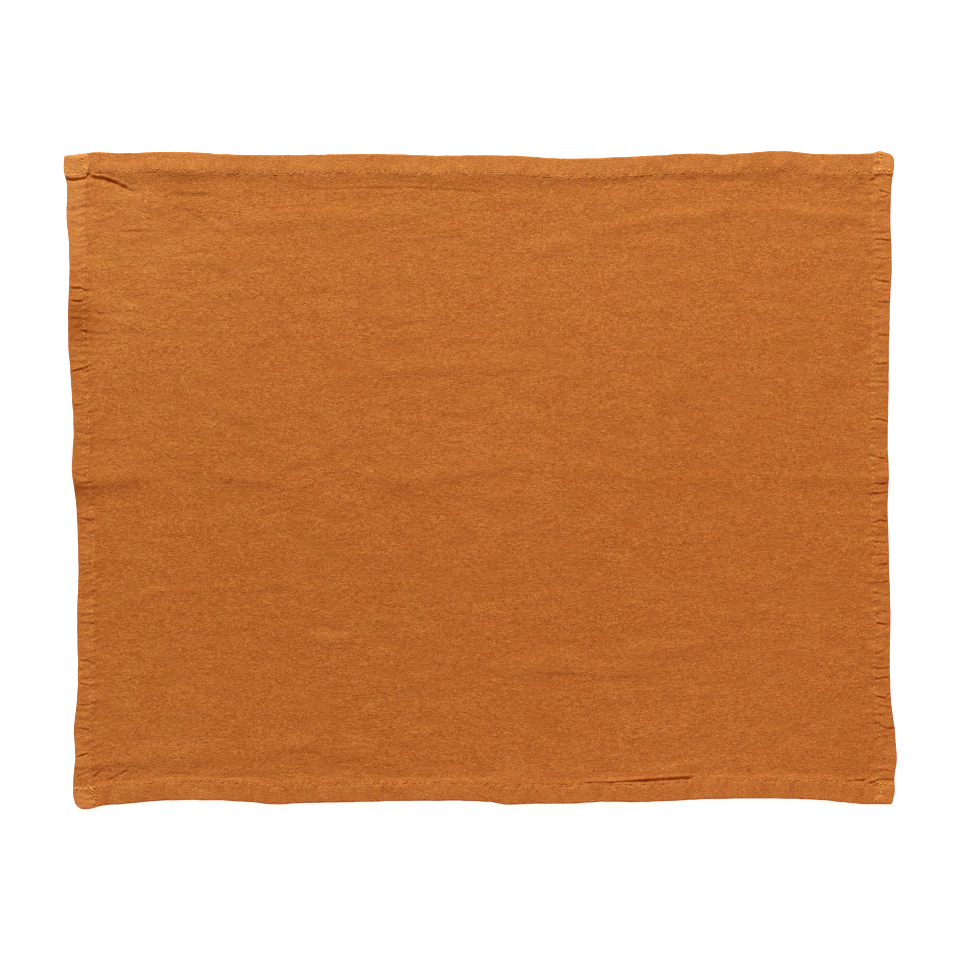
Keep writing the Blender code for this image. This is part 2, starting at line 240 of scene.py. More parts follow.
# Creases that run across the side hems and on into the single cloth.
CROSSING = folds(
    (-251.6, 117.7, -244.3, 118.1, 0.48), (-246.5, 118.4, -238.5, 114.9, 0.48, 0.92, 0.2),
    (-251.8, 110.3, -241.8, 109.9, 0.58, 1.02, -0.4), (-239.1, 111.6, -234.7, 112.7, 0.52, 0.82),
    (-238.1, 106.2, -232.7, 101.9, 0.49, 0.92, -0.2), (-235.2, 102.8, -224.7, 102.4, 0.49, 0.92, -0.4),
    (-252.3, 99.6, -238.1, 99.4, 0.46, 1.02, -0.3), (-239.6, 95.9, -236.8, 99, 0.49, 0.82),
    (-236.3, 95.1, -233.8, 98.5, 0.46, 0.82), (-245.9, 92.4, -235.1, 90.1, 0.46),
    (-237.9, 90.3, -226.2, 90.5, 0.48, 0.92, -0.5), (-243.9, 88.2, -239.5, 86, 0.3, 0.82),
    (-243.4, 83.3, -238.1, 81.1, 0.3, 0.82), (-250.8, 66.6, -241.8, 68.9, 0.63, 1.02),
    (-244, 68.3, -234.5, 71.7, 0.49), (-242.8, 66.5, -236.3, 68.1, 0.32, 0.82),
    (-242.8, 75.2, -230.2, 72.6, 0.27), (-249.6, 46.1, -240.6, 47.3, 0.38, 0.92, -0.3),
    (-242.8, 47.4, -233.9, 47.8, 0.27), (-247.1, 29.6, -238.1, 28.5, 0.24), (-248, 5.7, -238.8, 7.5, 0.35),
    (-245.9, -1.4, -235.7, -1.7, 0.38), (-245.6, -22.5, -236.9, -25.1, 0.27),
    (-246.6, -35.9, -238.1, -35.5, 0.22), (-245.9, -45.1, -237.5, -46.9, 0.19),
    (-245.9, -51.4, -236.9, -51.2, 0.22), (-245.9, -71.8, -238.1, -72.9, 0.19),
    (-245.9, -87.4, -237.5, -87, 0.24), (-246.3, -109.4, -235.7, -111.7, 0.41),
    (-246.3, -115.6, -238.1, -115.3, 0.19), (-246.3, -124.2, -238.1, -125.3, 0.32),
    (-242.7, -133.2, -237.3, -128.9, 0.27, 0.82), (-247.1, -137.7, -238.1, -137.8, 0.22),
    (-248, -151, -238.1, -152.9, 0.38), (-248, -158.8, -240.6, -157, 0.22),
    (-247.7, -169.4, -238.1, -167.1, 0.48, 0.92, 0.2), (-248, -181.7, -239.4, -178.1, 0.27),
    (-236.6, -165.1, -233.3, -160.7, 0.46, 0.82), (-237.5, -182.8, -230.3, -175.7, 0.34),
    (-228, -183.9, -215.3, -176.7, 0.52), (230.5, 185.3, 236.4, 184.4, 0.46),
    (237.6, 182.9, 243, 185.6, 0.59), (247.3, 187.4, 253.2, 186.3, 0.25, 0.82),
    (243, 178.6, 252.6, 175.1, 0.52, 0.92, -0.3), (243.4, 174.1, 250.5, 173.8, 0.41, 0.92, -0.7),
    (242.7, 165, 250.2, 164.6, 0.32), (242.7, 151.5, 251.4, 152, 0.19),
    (239.8, 146.3, 243.6, 148.4, 0.48, 0.82), (241.8, 147.9, 252, 146.5, 0.52),
    (240, 136.6, 247.7, 135.1, 0.48), (245.5, 135.1, 252.6, 136.5, 0.48),
    (242.7, 126.4, 250.8, 126.4, 0.22), (240.3, 123.4, 251.4, 121.4, 0.46, 0.92, -0.4),
    (241.2, 120.1, 245.9, 118.2, 0.27, 0.82), (245.5, 116.2, 252, 116.2, 0.24, 0.82),
    (242.7, 109.7, 251.4, 108.5, 0.41), (242.7, 89.5, 251.4, 88.9, 0.38), (237.5, 70.5, 245.9, 71.2, 0.38),
    (243.7, 71.2, 251.4, 71.7, 0.48), (242.7, 60.9, 250.8, 59.7, 0.27), (239.1, 39.5, 245.9, 41.8, 0.38),
    (233.8, 44.9, 239.3, 38, 0.47), (240.9, 38.2, 251.4, 35.9, 0.52, 0.92, -0.3),
    (237.5, 15.8, 248.9, 13.2, 0.38), (239.7, -2.4, 249.6, -1.8, 0.48), (234.9, -0.9, 240.6, 3.9, 0.34),
    (240.3, -7.6, 250.8, -7.2, 0.43, 0.92, -0.3), (239.1, -26.4, 245.3, -24.7, 0.49),
    (243, -24.8, 250.8, -24.7, 0.48), (240.3, -37.7, 250.2, -38.2, 0.38), (240.9, -45.9, 250.2, -45.4, 0.3),
    (240.3, -52.9, 250.8, -50.6, 0.38), (242.7, -63.1, 252, -61.3, 0.24),
    (244.3, -79.6, 251.4, -80.7, 0.19), (240.9, -86.8, 250.2, -88.3, 0.43),
    (239.5, -87.8, 243.9, -90, 0.48, 0.82), (233.9, -98.5, 241, -97.3, 0.34),
    (239.5, -108.1, 249.2, -102.7, 0.38), (240.9, -115.4, 252, -114.5, 0.35),
    (239.4, -122.4, 251.4, -120.1, 0.35), (242.1, -132.6, 249.6, -132.3, 0.43, 0.92, -0.3),
    (247.7, -132.7, 251.9, -128.9, 0.41, 0.82), (242.4, -138.1, 252.6, -138.4, 0.24, 0.92, -0.3),
    (243.7, -149.5, 250.2, -152.4, 0.48), (248.3, -152.1, 254.5, -151.2, 0.48),
    (240.9, -160.7, 244.3, -156.9, 0.49, 0.82), (236.8, -166, 241.5, -163.4, 0.41, 0.82),
    (244.3, -177.4, 252, -177.7, 0.27), (241.8, -183.2, 254.5, -183.3, 0.42, 0.92, 0.4),
    (236.9, -184.9, 244.4, -182.9, 0.95, 0.92, -0.4), (222.8, -184, 237.3, -183.4, 0.7),
    (236.5, -183.6, 242.6, -176.4, 0.34),
)

# Where the cloth is more crinkled than elsewhere.
PATCHES = [Patch(*row) for row in (
    (-220, 176, 38, 0.9), (-165, 130, 48, 0.6), (-214, 92, 32, 0.7), (-110, 2, 46, 0.9), (0, 10, 55, 0.8),
    (-196, 22, 30, 0.7), (110, -2, 45, 0.4), (0, -74, 36, 0.5), (-92, -98, 32, 0.7), (212, -104, 28, 0.6),
    (-180, -172, 45, 0.7), (-40, -165, 50, 0.5), (110, -168, 50, 0.7), (228, 170, 28, 0.7),
    (-60, 165, 60, 0.5), (110, 158, 60, 0.4), (0, 130, 150, 0.15), (-200, 120, 90, 0.3),
)]

# Painted light and shade: where the colour is painted a little lighter than on average, or darker where the
# gain is negative. The broad patches stand in for the light's fall across the mat, and the small dark ones for
# shade in crumpled pockets.
PAINTED_LIGHT_AND_SHADE = [Patch(*row) for row in (
    (-120, -25, 120, -0.06), (110, 25, 90, -0.03), (-235, 150, 60, 0.09), (-130, 178, 60, 0.03),
    (150, -185, 80, 0.07), (30, -200, 60, 0.05), (-210, -170, 60, 0.03), (80, 160, 110, 0.04),
    (60, -110, 120, -0.035), (225, 185, 60, 0.05), (-180, 180, 14, -0.09), (-247, 97, 11, -0.45),
)]

# Painted shade along the packing fold, and a band of painted light beside its middle.
PAINTED_FOLD_SHADING = folds(
    (-275, -7, -228, -7, -0.36, 5.5), (-245, -4, -196, -4, -0.1, 6), (-160, -5, -118, -6, -0.08, 6),
    (-64, -6, 2, -9, -0.07, 7), (66, 0, 152, 0, -0.08, 3.5), (160, -1, 250, -1, -0.06, 2.5),
    (-60, 16, 60, 18, 0.05, 9),
)

# Soft pinches across the long hems.
PUCKERS = {
    Side.BACK: pinches(
        (-206, 3.6, 0.35, 0.1, 0.3), (-158, 4, 0.45, 0.1, -0.3), (-96, 4, 0.35, 0.08, 0.2),
        (-24, 4, 0.4, 0.08, 0.3), (49, 4.4, 0.5, 0.12, -0.2), (112, 4, 0.4, 0.1, 0.3),
        (147, 4, 0.4, 0.1, -0.3), (203, 4, 0.5, 0.12, 0.3),
    ),
    Side.FRONT: pinches(
        (-228, 4, 0.45, 0.1, 0.3), (-177, 4.4, 0.4, 0.1, -0.2), (-140, 4, 0.4, 0.1, 0.3),
        (-60, 4, 0.35, 0.08, 0.2), (4, 4.4, 0.6, 0.12, -0.4), (72, 4.4, 0.5, 0.1, 0.3),
        (126, 4, 0.4, 0.1, 0.2), (220, 4.4, 0.5, 0.1, -0.2),
    ),
}

# How far each hem slopes down to its inner fold, how far the single cloth beside it takes to settle, and
# how far the fold stands proud of that cloth.
DROPS = {Side.BACK: 0.10, Side.FRONT: 0.30, Side.LEFT: 0.45, Side.RIGHT: 0.45}
REACHES = {
    Side.BACK: line(
        (-255, 10), (-205, 10), (-190, 8), (-168, 4.5), (-140, 6), (-110, 9), (28, 9.5), (46, 6), (64, 4.4),
        (92, 4.4), (110, 4.8), (150, 4.4), (172, 8), (194, 11), (255, 11),
    ),
    Side.FRONT: line(
        (-255, 1.6), (-150, 2), (-120, 5.5), (-80, 5.5), (-50, 2.5), (0, 3), (25, 6), (60, 4), (90, 7),
        (125, 8), (145, 2.4), (170, 4), (255, 2.5),
    ),
    Side.LEFT: line((-203, 2.8), (200, 2.8)),
    Side.RIGHT: line((-201, 2.8), (202, 2.8)),
}

LIFTS = {
    Side.BACK: line(
        (-255, 0.35), (-238, 0.45), (-190, 0.3), (-168, 0.15), (-147, 0.32), (-105, 0.34), (-61, 0.28),
        (5, 0.28), (28, 0.42), (50, 0.3), (70, 0.45), (110, 0.45), (135, 0.36), (165, 0.18), (190, 0.05),
        (255, 0.05),
    ),
    Side.FRONT: line(
        (-255, 0.2), (-150, 0.05), (58, 0.05), (68, 0.45), (122, 0.45), (134, 0.05), (220, 0.05),
        (255, 0.2),
    ),
    Side.LEFT: line((-203, 0.35), (-187, 0.35), (-180, 0.06), (179, 0.06), (186, 0.8), (200, 0.8)),
    Side.RIGHT: line((-201, 0.3), (-187, 0.3), (-180, 0.06), (179, 0.06), (187, 0.4), (202, 0.4)),
}

# How much lighter each hem is along its length, in thousandths: partly dye rubbed in the wash, partly painted
# light where a hem catches more light.
RUBBED_DYE_AND_PAINTED_LIGHT = {
    Side.BACK: line((-255, 500), (-150, 540), (60, 500), (255, 350)),
    Side.FRONT: line((-255, 320), (-80, 320), (60, 220), (255, 270)),
    Side.LEFT: line(
        (-203, 320), (-60, 300), (-5, 40), (40, 150), (82, 50), (125, 50), (142, 700), (165, 950),
        (200, 700),
    ),
    Side.RIGHT: line((-201, 170), (-120, 220), (-10, 170), (60, 280), (202, 320)),
}

# How deep each hem is along its length, and how far in its stitches run.
HEM_DEPTHS = {
    Side.BACK: line((-255, 12.7), (-120, 12.9), (0, 12.6), (255, 12.8)),
    Side.FRONT: line((-255, 13), (-60, 12.4), (90, 12.5), (255, 13.2)),
    Side.LEFT: line(
        (-203, 13.4), (-186, 13), (-176, 11.6), (0, 11.4), (178, 11.8), (185, 13.6), (188, 15.4),
        (192, 16.3), (196, 15.2), (200, 13.4),
    ),
    Side.RIGHT: line((-201, 12.2), (-170, 11.4), (0, 11.2), (170, 11.6), (188, 12.8), (202, 12.8)),
}

SEAM_INSETS = {
    Side.BACK: line((-255, 11.1), (-120, 11.4), (0, 11), (255, 11.3)),
    Side.FRONT: line((-255, 11.4), (-60, 10.9), (90, 10.9), (255, 11.6)),
    Side.LEFT: line((-203, 11), (-186, 10.6), (0, 9.9), (176, 10), (186, 11.2), (200, 9.4)),
    Side.RIGHT: line((-201, 9.8), (0, 9.7), (176, 10), (202, 9.6)),
}

# The blocks at the corners, and the tacks that lock the seams' ends: by side hem, at its back or front end.
CORNERS = {
    (Side.LEFT, 1): Corner(1.7, 1.00, 0.70),
    (Side.LEFT, -1): Corner(4.2, 0.85, 1.15),
    (Side.RIGHT, 1): Corner(3.2, 0.75, 1.25),
    (Side.RIGHT, -1): Corner(1.4, 0.80, 0.90),
}
TACKS = {
    (Side.LEFT, 1): Tack(197.2, 9.2, 188.2, 12.4),
    (Side.LEFT, -1): Tack(-184.6, 10.2, -193.6, 12.6),
    (Side.RIGHT, 1): Tack(198.0, 9.4, 187.8, 9.6),
    (Side.RIGHT, -1): Tack(-184.8, 10.2, -193.4, 9.4),
}

# The patterns of soft unevenness, named for what they shape.
RIPPLES = Swell(6.5, 1, 2.5)
CRINKLE_BEND = Swell(24, 24, 3.1)
LOW_CRINKLE = Swell(22, 10, 11.7)
RIDGES = {0.38: Swell(16, 6.5, 27.3), -0.30: Swell(16, 6.5, 35.1)}
PILLOW_BEND = Swell(8, 6, 6.6)
SIDE_PILLOWS = Swell(20, 7.5, 33.3)
LONG_PILLOWS = Swell(11, 14, 33.3)
GATHERS = Swell(2.4, 7, 61.3)
MEETING = Swell(13, 1, 51.2)
HEM_DEPTH = Swell(14, 1, 5.5)
HEM_SWELLS = Swell(9, 5, 41.9)
HEM_GRAIN = Swell(3.4, 2.6, 8.3)
RUBBING = Swell(13, 9, 71.7)


def ease(start: float, end: float, value: Grid) -> Grid:
    """Rise smoothly from 0 at start to 1 at end."""
    share = np.clip((value - start) / (end - start), 0, 1)
    return share * share * (3 - 2 * share)


def hump(distance: Grid, half_width: Grid | float) -> Grid:
    """A bell that is 1 at no distance and has almost gone at twice its half width."""
    return np.exp(-((distance / half_width) ** 2))


def lip(distance: Grid, half_width: Grid | float) -> Grid:
    """A crease's profile: 1 just behind its line, -1 just in front of it, and steep between the two."""
    share = distance / half_width
    return LIP_GAIN * share * np.exp(-(share**2))


def columns(points: list[EdgePoint]) -> tuple[Grid, Grid]:
    """A table's places and values in metres, in order along the side."""
    rows = sorted((row.along * MM, row.out * MM) for row in points)
    return np.array([row[0] for row in rows]), np.array([row[1] for row in rows])


def line_through(points: list[EdgePoint], along: Grid) -> Grid:
    """A smooth line through a table's points.

    Args:
        points: The table, in millimetres.
        along: Places along the line, in metres.

    Returns:
        How far out the line lies at each place, in metres.
    """
    at, out = columns(points)
    slope = np.gradient(out, at)
    place = np.clip(along, at[0], at[-1])
    left = np.clip(np.searchsorted(at, place) - 1, 0, len(at) - 2)
    gap = at[left + 1] - at[left]
    t = (place - at[left]) / gap
    start = out[left] * (1 + 2 * t) * (1 - t) ** 2 + out[left + 1] * t**2 * (3 - 2 * t)
    turn = slope[left] * t * (1 - t) ** 2 - slope[left + 1] * t**2 * (1 - t)
    return start + gap * turn


def level_at(points: list[EdgePoint], along: Grid) -> Grid:
    """A table's value at places along a side, in metres, with straight runs between its points."""
    return np.interp(along, *columns(points))


def uneven(x: Grid, y: Grid, swell: Swell, shift: int = 0) -> Grid:
    """Seeded soft unevenness.

    Args:
        x: Places across, in metres.
        y: Places up, in metres.
        swell: The size of its swells, and the pattern's number.
        shift: What is added to that number, so that sides differ.

    Returns:
        Heights from about -0.7 to 0.7, one for each place.
    """
    places = zip((x / (swell.across * MM)).ravel(), (y / (swell.up * MM)).ravel())
    number = swell.number + shift
    return np.array([noise.noise(Vector((a, b, number))) for a, b in places]).reshape(x.shape)


def patched(rows: list[Patch], x: Grid, y: Grid) -> Grid:
    """Sum of the patches' gains at each place."""
    return sum(row.gain * hump(np.hypot(x - row.x * MM, y - row.y * MM), row.half_width * MM) for row in rows)


def grid_faces(number: Grid) -> list[tuple[int, ...]]:
    """Four-sided faces between the neighbours in a grid of point numbers."""
    near, far = number[:-1], number[1:]
    faces = np.stack([near[:, :-1], far[:, :-1], far[:, 1:], near[:, 1:]], -1)
    return [tuple(face) for face in faces.reshape(-1, 4).tolist()]


def linear_colour(code: str) -> tuple[float, float, float, float]:
    """Turn an sRGB hex value into the linear colour that a shader takes."""
    parts = [int(code.lstrip("#")[i : i + 2], 16) / 255 for i in (0, 2, 4)]
    red, green, blue = [p / 12.92 if p <= 0.04045 else ((p + 0.055) / 1.055) ** 2.4 for p in parts]
    return red, green, blue, 1.0


def add_node(tree: Tree, kind: str, links: dict | None = None, **settings) -> bpy.types.Node:
    """Add one node to a tree.

    Args:
        tree: The material's or geometry's node tree.
        kind: The node's type name.
        links: For each input, by name or number, an output socket to link or a value to set.
        **settings: Attributes of the node itself.

    Returns:
        The new node.
    """
    node = tree.nodes.new(kind)
    for name, value in settings.items():
        setattr(node, name, value)
    for key, value in (links or {}).items():
        if isinstance(value, Socket):
            tree.links.new(value, node.inputs[key])
        else:
            node.inputs[key].default_value = value
    return node


def add_output(tree: Tree, kind: str, links: dict | None = None, output: int | str = 0, **settings) -> Socket:
    """Add one node as add_node does, and give back one of its outputs."""
    return add_node(tree, kind, links, **settings).outputs[output]


def work_out(tree: Tree, operation: str, *values: Socket | float) -> Socket:
    """Add a math node and give back its result."""
    return add_output(tree, "ShaderNodeMath", dict(enumerate(values)), operation=operation)


def mixed(tree: Tree, share: Socket, first: Socket | tuple, second: Socket | tuple) -> Socket:
    """Mix two colours by the second one's share."""
    return add_output(tree, "ShaderNodeMix", {0: share, 6: first, 7: second}, 2, data_type="RGBA")


def stretch(tree: Tree, value: Socket, ends: Ends, kind: str = "LINEAR") -> Socket:
    """Map a value from between the first two ends to between the last two."""
    links = dict(zip(("Value", "From Min", "From Max", "To Min", "To Max"), (value, *ends)))
    return add_output(tree, "ShaderNodeMapRange", links, interpolation_type=kind)


def point_value(tree: Tree, name: str) -> Socket:
    """Read a number that each point of the piece has."""
    return add_output(tree, "ShaderNodeAttribute", None, "Fac", attribute_name=name)


def start_material(name: str, values: dict) -> tuple[Material, bpy.types.Node]:
    """Start a material with some of its shader's values, and give back both."""
    made = bpy.data.materials.new(name)
    made.use_nodes = True
    shader = made.node_tree.nodes["Principled BSDF"]
    for key, value in values.items():
        shader.inputs[key].default_value = value
    return made, shader


def link_object(name: str, data: bpy.types.ID) -> Piece:
    """Put new data into the scene as an object at the origin."""
    made = bpy.data.objects.new(name, data)
    bpy.context.scene.collection.objects.link(made)
    return made


def mesh_object(name: str, verts: Iterable, faces: Iterable, material: Material) -> Piece:
    """Make a smooth-shaded object at the origin.

    Args:
        name: The piece's name.
        verts: Its points, in metres.
        faces: Its faces, as lists of point numbers.
        material: Its finish.

    Returns:
        The object, linked to the scene.
    """
    mesh = bpy.data.meshes.new(name)
    mesh.from_pydata(list(verts), [], [tuple(int(number) for number in face) for face in faces])
    mesh.validate()
    work = bmesh.new()
    work.from_mesh(mesh)
    bmesh.ops.recalc_face_normals(work, faces=work.faces)
    work.to_mesh(mesh)
    work.free()
    mesh.shade_smooth()
    mesh.materials.append(material)
    return link_object(name, mesh)


def add_attribute(mesh: bpy.types.Mesh, name: str, values: Grid, kind: str = "FLOAT") -> None:
    """Give each point of a mesh a number that its finish or its stitches read."""
    exact = np.ascontiguousarray(values, np.int32 if kind == "INT" else np.float32)
    mesh.attributes.new(name, kind, "POINT").data.foreach_set("value", exact.ravel())


class Habit(NamedTuple):
    """How one kind of fold is shaped: how far it strays, how much it varies, its ends' fade and its profile."""

    wander: float
    wander_swell: Swell
    vary: float
    vary_swell: Swell
    fade: float
    profile: Callable[[Grid, Grid], Grid]


SOFT = Habit(2.0 * MM, Swell(20, 60, 14.2), 0.7, Swell(30, 30, 17.6), 14 * MM, hump)
SHARP = Habit(0.55 * MM, Swell(5, 12, 19.3), 0.6, Swell(7, 9, 23.8), 2.4 * MM, lip)


@dataclass(frozen=True)
class Outline:
    """The mat's outline: its mean size, its uneven edges and the ear at the back right corner."""

    length: float = 500 * MM
    width: float = 397 * MM
    ear_along: float = 245 * MM
    ear_out: float = 1.6 * MM
    ear_half_width: float = 4.0 * MM
    ear_depth: float = 12.7 * MM
    ripple: float = 0.22 * MM
    pinch_half_width: float = 2.4 * MM
    depth_pull: float = 0.3
    crease_pull: float = 0.6
    drawn_depth: float = 16 * MM
    samples: int = 401

    def reach(self, side: Side) -> float:
        """How far a side's mean line lies from the middle."""
        return (self.width if side.is_long else self.length) / 2

    def half(self, side: Side) -> float:
        """Half of a side's own length."""
        return (self.length if side.is_long else self.width) / 2

    def from_side(self, side: Side, across: Grid, up: Grid) -> tuple[Grid, Grid]:
        """Place along a side and distance in from its edge."""
        along, out = (across, up) if side.is_long else (up, across)
        return along, self.reach(side) - side.outward * out

    def to_flat(self, side: Side, along: Grid, inset: Grid) -> tuple[Grid, Grid]:
        """The flat rectangle's place for a place along a side and a distance in from its edge."""
        out = side.outward * (self.reach(side) - inset)
        return (along, out) if side.is_long else (out, along)

    def shifted(self, across: Grid, up: Grid) -> tuple[Grid, Grid]:
        """Move the flat rectangle's points so that its edges lie on the four edge lines."""
        right_share = across / self.length + 0.5
        back_share = up / self.width + 0.5
        x, y = across, up
        for _ in range(2):
            left, right = line_through(EDGES[Side.LEFT], y), line_through(EDGES[Side.RIGHT], y)
            x = across + right * right_share - left * (1 - right_share)
            back, front = line_through(EDGES[Side.BACK], x), line_through(EDGES[Side.FRONT], x)
            y = up + back * back_share - front * (1 - back_share)
        ear = self.ear_out * hump(x - self.ear_along, self.ear_half_width)
        return x, y + ear * ease(self.ear_depth, 0, self.width / 2 - up)

    def centre(self) -> tuple[float, float]:
        """Middle of the outline's box, which lies over the origin."""
        sides = (self.length, self.width)
        across, up = np.meshgrid(*(np.linspace(-side / 2, side / 2, self.samples) for side in sides))
        x, y = self.shifted(across, up)
        return (x.min() + x.max()) / 2, (y.min() + y.max()) / 2

    def place(self, across: Grid, up: Grid) -> tuple[Grid, Grid]:
        """Where the flat rectangle's points lie on the real mat, in metres."""
        x, y = self.shifted(across, up)
        middle_x, middle_y = self.centre()
        x, y = x - middle_x, y - middle_y
        for side in Side:
            drawn = side.outward * self.drawn_in(side, *self.from_side(side, across, up))
            x, y = (x, y - drawn) if side.is_long else (x - drawn, y)
        return x, y

    def drawn_in(self, side: Side, along: Grid, inset: Grid) -> Grid:
        """How far an edge is drawn in by its puckers and by the small ripples between them."""
        total = self.ripple * uneven(along, along * 0, RIPPLES, side.pattern)
        for row in PUCKERS.get(side, []):
            pull = (self.depth_pull * row.depth + self.crease_pull * row.crease) * MM
            total += pull * hump(along - row.along * MM, self.pinch_half_width)
        return total * ease(self.drawn_depth, 2 * MM, inset)


@dataclass(frozen=True)
class Relief:
    """Heights of the cloth over the floor, shared by the panel, the hems and the stitches."""

    outline: Outline
    cloth: float = 1.1 * MM
    hem_rise: float = 1.35 * MM
    seam_dip: float = 0.20 * MM
    seam_half_width: float = 0.9 * MM
    thinnest: float = 0.62 * MM
    hem_thinnest: float = 0.3 * MM
    calm: float = 0.85
    crinkle: float = 0.21 * MM
    crinkle_bend: float = 6 * MM
    ridge: float = 0.75
    ridge_level: float = 0.3
    pillow: float = 1.1 * MM
    side_pillow: float = 0.7
    long_pillow: float = 0.4
    pillow_lean: float = 0.6
    pillow_bend: float = 1.5 * MM
    pillow_power: float = 0.85
    pinch: float = 1.6
    pinch_bend: float = 0.8 * MM
    pinch_wave: float = 3.4 * MM
    pinch_middle: float = 5 * MM
    pinch_width: float = 0.62
    pinch_depth: float = 0.8
    carried_on: float = 0.7
    beside_reach: float = 17 * MM
    gather: float = 0.95 * MM
    gather_reach: float = 4.6 * MM
    meeting_vary: float = 0.35
    slope_power: float = 1.6
    sunk: float = 0.35 * MM
    pressed: float = 0.15 * MM
    hem_swell: float = 0.08 * MM
    hem_grain: float = 0.06 * MM

    def along_row(self, row: Fold, x: Grid, y: Grid, fade: float) -> tuple[Grid, Grid]:
        """Measure places against one fold's line.

        Args:
            row: The fold.
            x: Places across, in metres.
            y: Places up, in metres.
            fade: How far its ends take to fade, in metres.

        Returns:
            How far behind the line each place is, and how much of the fold is left there.
        """
        start = np.array([row.from_x, row.from_y]) * MM
        run = np.array([row.to_x, row.to_y]) * MM - start
        length = float(np.hypot(*run))
        along = ((x - start[0]) * run[0] + (y - start[1]) * run[1]) / length
        behind = ((y - start[1]) * run[0] - (x - start[0]) * run[1]) / length
        behind = behind - row.bow * MM * (1 - (2 * along / length - 1) ** 2)
        return behind, ease(0, fade, along) * ease(length, length - fade, along)

    def raised(self, rows: list[Fold], habit: Habit, x: Grid, y: Grid) -> Grid:
        """Sum of a table's folds, each a little crooked and stronger in some places.

        Args:
            rows: The table.
            habit: How this kind of fold is shaped.
            x: Places across, in metres.
            y: Places up, in metres.

        Returns:
            Heights, in metres.
        """
        total = np.zeros_like(x)
        wander = habit.wander * uneven(x, y, habit.wander_swell)
        for row in rows:
            behind, left = self.along_row(row, x, y + wander, habit.fade)
            half_width = row.half_width * MM * np.where(behind < 0, row.front, 1.0)
            total += row.rise * MM * habit.profile(behind, half_width) * left
        return total * (1 + habit.vary * uneven(x, y, habit.vary_swell))

    def folds(self, x: Grid, y: Grid) -> Grid:
        """Sum of the soft folds."""
        return self.raised(FOLDS, SOFT, x, y)

    def tone_shift(self, x: Grid, y: Grid) -> Grid:
        """How much lighter or darker than on average the colour is painted at each place: painted light and
        shade in broad patches and along the packing fold.
        """
        total = patched(PAINTED_LIGHT_AND_SHADE, x, y)
        for row in PAINTED_FOLD_SHADING:
            behind, left = self.along_row(row, x, y, SOFT.fade)
            total += row.rise * hump(behind, row.half_width * MM) * left
        return total

    def restless(self, x: Grid, y: Grid) -> Grid:
        """How crinkled the cloth is at each place: least where it is calm, more in the patches."""
        return self.calm + patched(PATCHES, x, y)

    def swells(self, x: Grid, y: Grid) -> Grid:
        """Washed linen's crinkle: low swells with sharp little ridges that run two slanting ways."""
        bend = self.crinkle_bend * uneven(x, y, CRINKLE_BEND)
        total = uneven(x + bend, y + bend, LOW_CRINKLE)
        for turn, swell in RIDGES.items():
            run = x * math.cos(turn) + y * math.sin(turn)
            rise = y * math.cos(turn) - x * math.sin(turn) + bend
            total = total + self.ridge * (self.ridge_level - np.abs(uneven(run, rise, swell)))
        return self.crinkle * total * self.restless(x, y)

    def pillows(self, side: Side, along: Grid, inset: Grid) -> Grid:
        """Rounded swells that the stitches draw up across a hem, with sharp little valleys between them."""
        shift = 7 * side.pattern
        if side.is_long:
            swells = uneven(along + self.pillow_lean * inset, inset, LONG_PILLOWS, shift)
            share = self.long_pillow
        else:
            bent = along + self.pillow_bend * uneven(along, inset, PILLOW_BEND)
            swells = uneven(inset, bent, SIDE_PILLOWS, shift)
            share = self.side_pillow
        return share * self.pillow * np.abs(swells) ** self.pillow_power

    def gathers(self, side: Side, along: Grid, from_seam: Grid) -> Grid:
        """Tiny ripples that the stitches draw up, dying away on both sides of the seam."""
        wave = uneven(along, from_seam, GATHERS, 3 * side.pattern)
        return self.gather * wave * np.exp(-np.abs(from_seam) / self.gather_reach)

    def meeting(self, side: Side, along: Grid, past: Grid) -> Grid:
        """How far the single cloth rises to meet a hem's inner fold."""
        reach = level_at(REACHES[side], along)
        reach = reach * (1 + self.meeting_vary * uneven(along, along * 0, MEETING, side.pattern))
        top = self.hem_rise - DROPS[side] * MM - level_at(LIFTS[side], along)
        slope = np.clip(1 - past / reach, 0, 1) ** self.slope_power
        return top * slope * ease(-5 * MM, -1 * MM, past)

    def depth(self, side: Side, along: Grid) -> Grid:
        """How deep a hem is at places along it."""
        return level_at(HEM_DEPTHS[side], along)

    def panel(self, across: Grid, up: Grid) -> tuple[Grid, Grid, Grid]:
        """Upper face of the single cloth, which runs on under the hems.

        Args:
            across: Places along X in the flat rectangle, in metres.
            up: Places along Y in the flat rectangle, in metres.

        Returns:
            Real x, y and z of each place, in metres.
        """
        x, y = self.outline.place(across, up)
        z = self.cloth + self.folds(x, y) + self.raised(CREASES + CROSSING, SHARP, x, y) + self.swells(x, y)
        for side in Side:
            along, inset = self.outline.from_side(side, across, up)
            past = inset - self.depth(side, along)
            z = z + self.meeting(side, along, past)
            from_seam = inset - level_at(SEAM_INSETS[side], along)
            beside = ease(self.beside_reach, 2 * MM, past) * ease(-2 * MM, 0, past)
            drawn = self.gathers(side, along, from_seam) + self.carried_on * self.puckers(side, along, inset)
            z = z + drawn * beside - self.sunk * ease(0, -2 * MM, past)
        return x, y, np.maximum(z, self.thinnest)

    def puckers(self, side: Side, along: Grid, inset: Grid) -> Grid:
        """Pinches across one hem: sharp valleys that the cloth rounds away from on both sides."""
        total = np.zeros_like(along)
        for row in PUCKERS.get(side, []):
            bend = self.pinch_bend * np.sin(inset / self.pinch_wave + row.along)
            away = along - row.along * MM - row.slant * (inset - self.pinch_middle) - bend
            valley = np.exp(-np.abs(away) / (self.pinch_width * row.half_width * MM))
            total -= (self.pinch_depth * row.depth + row.crease) * MM * valley
        return self.pinch * total

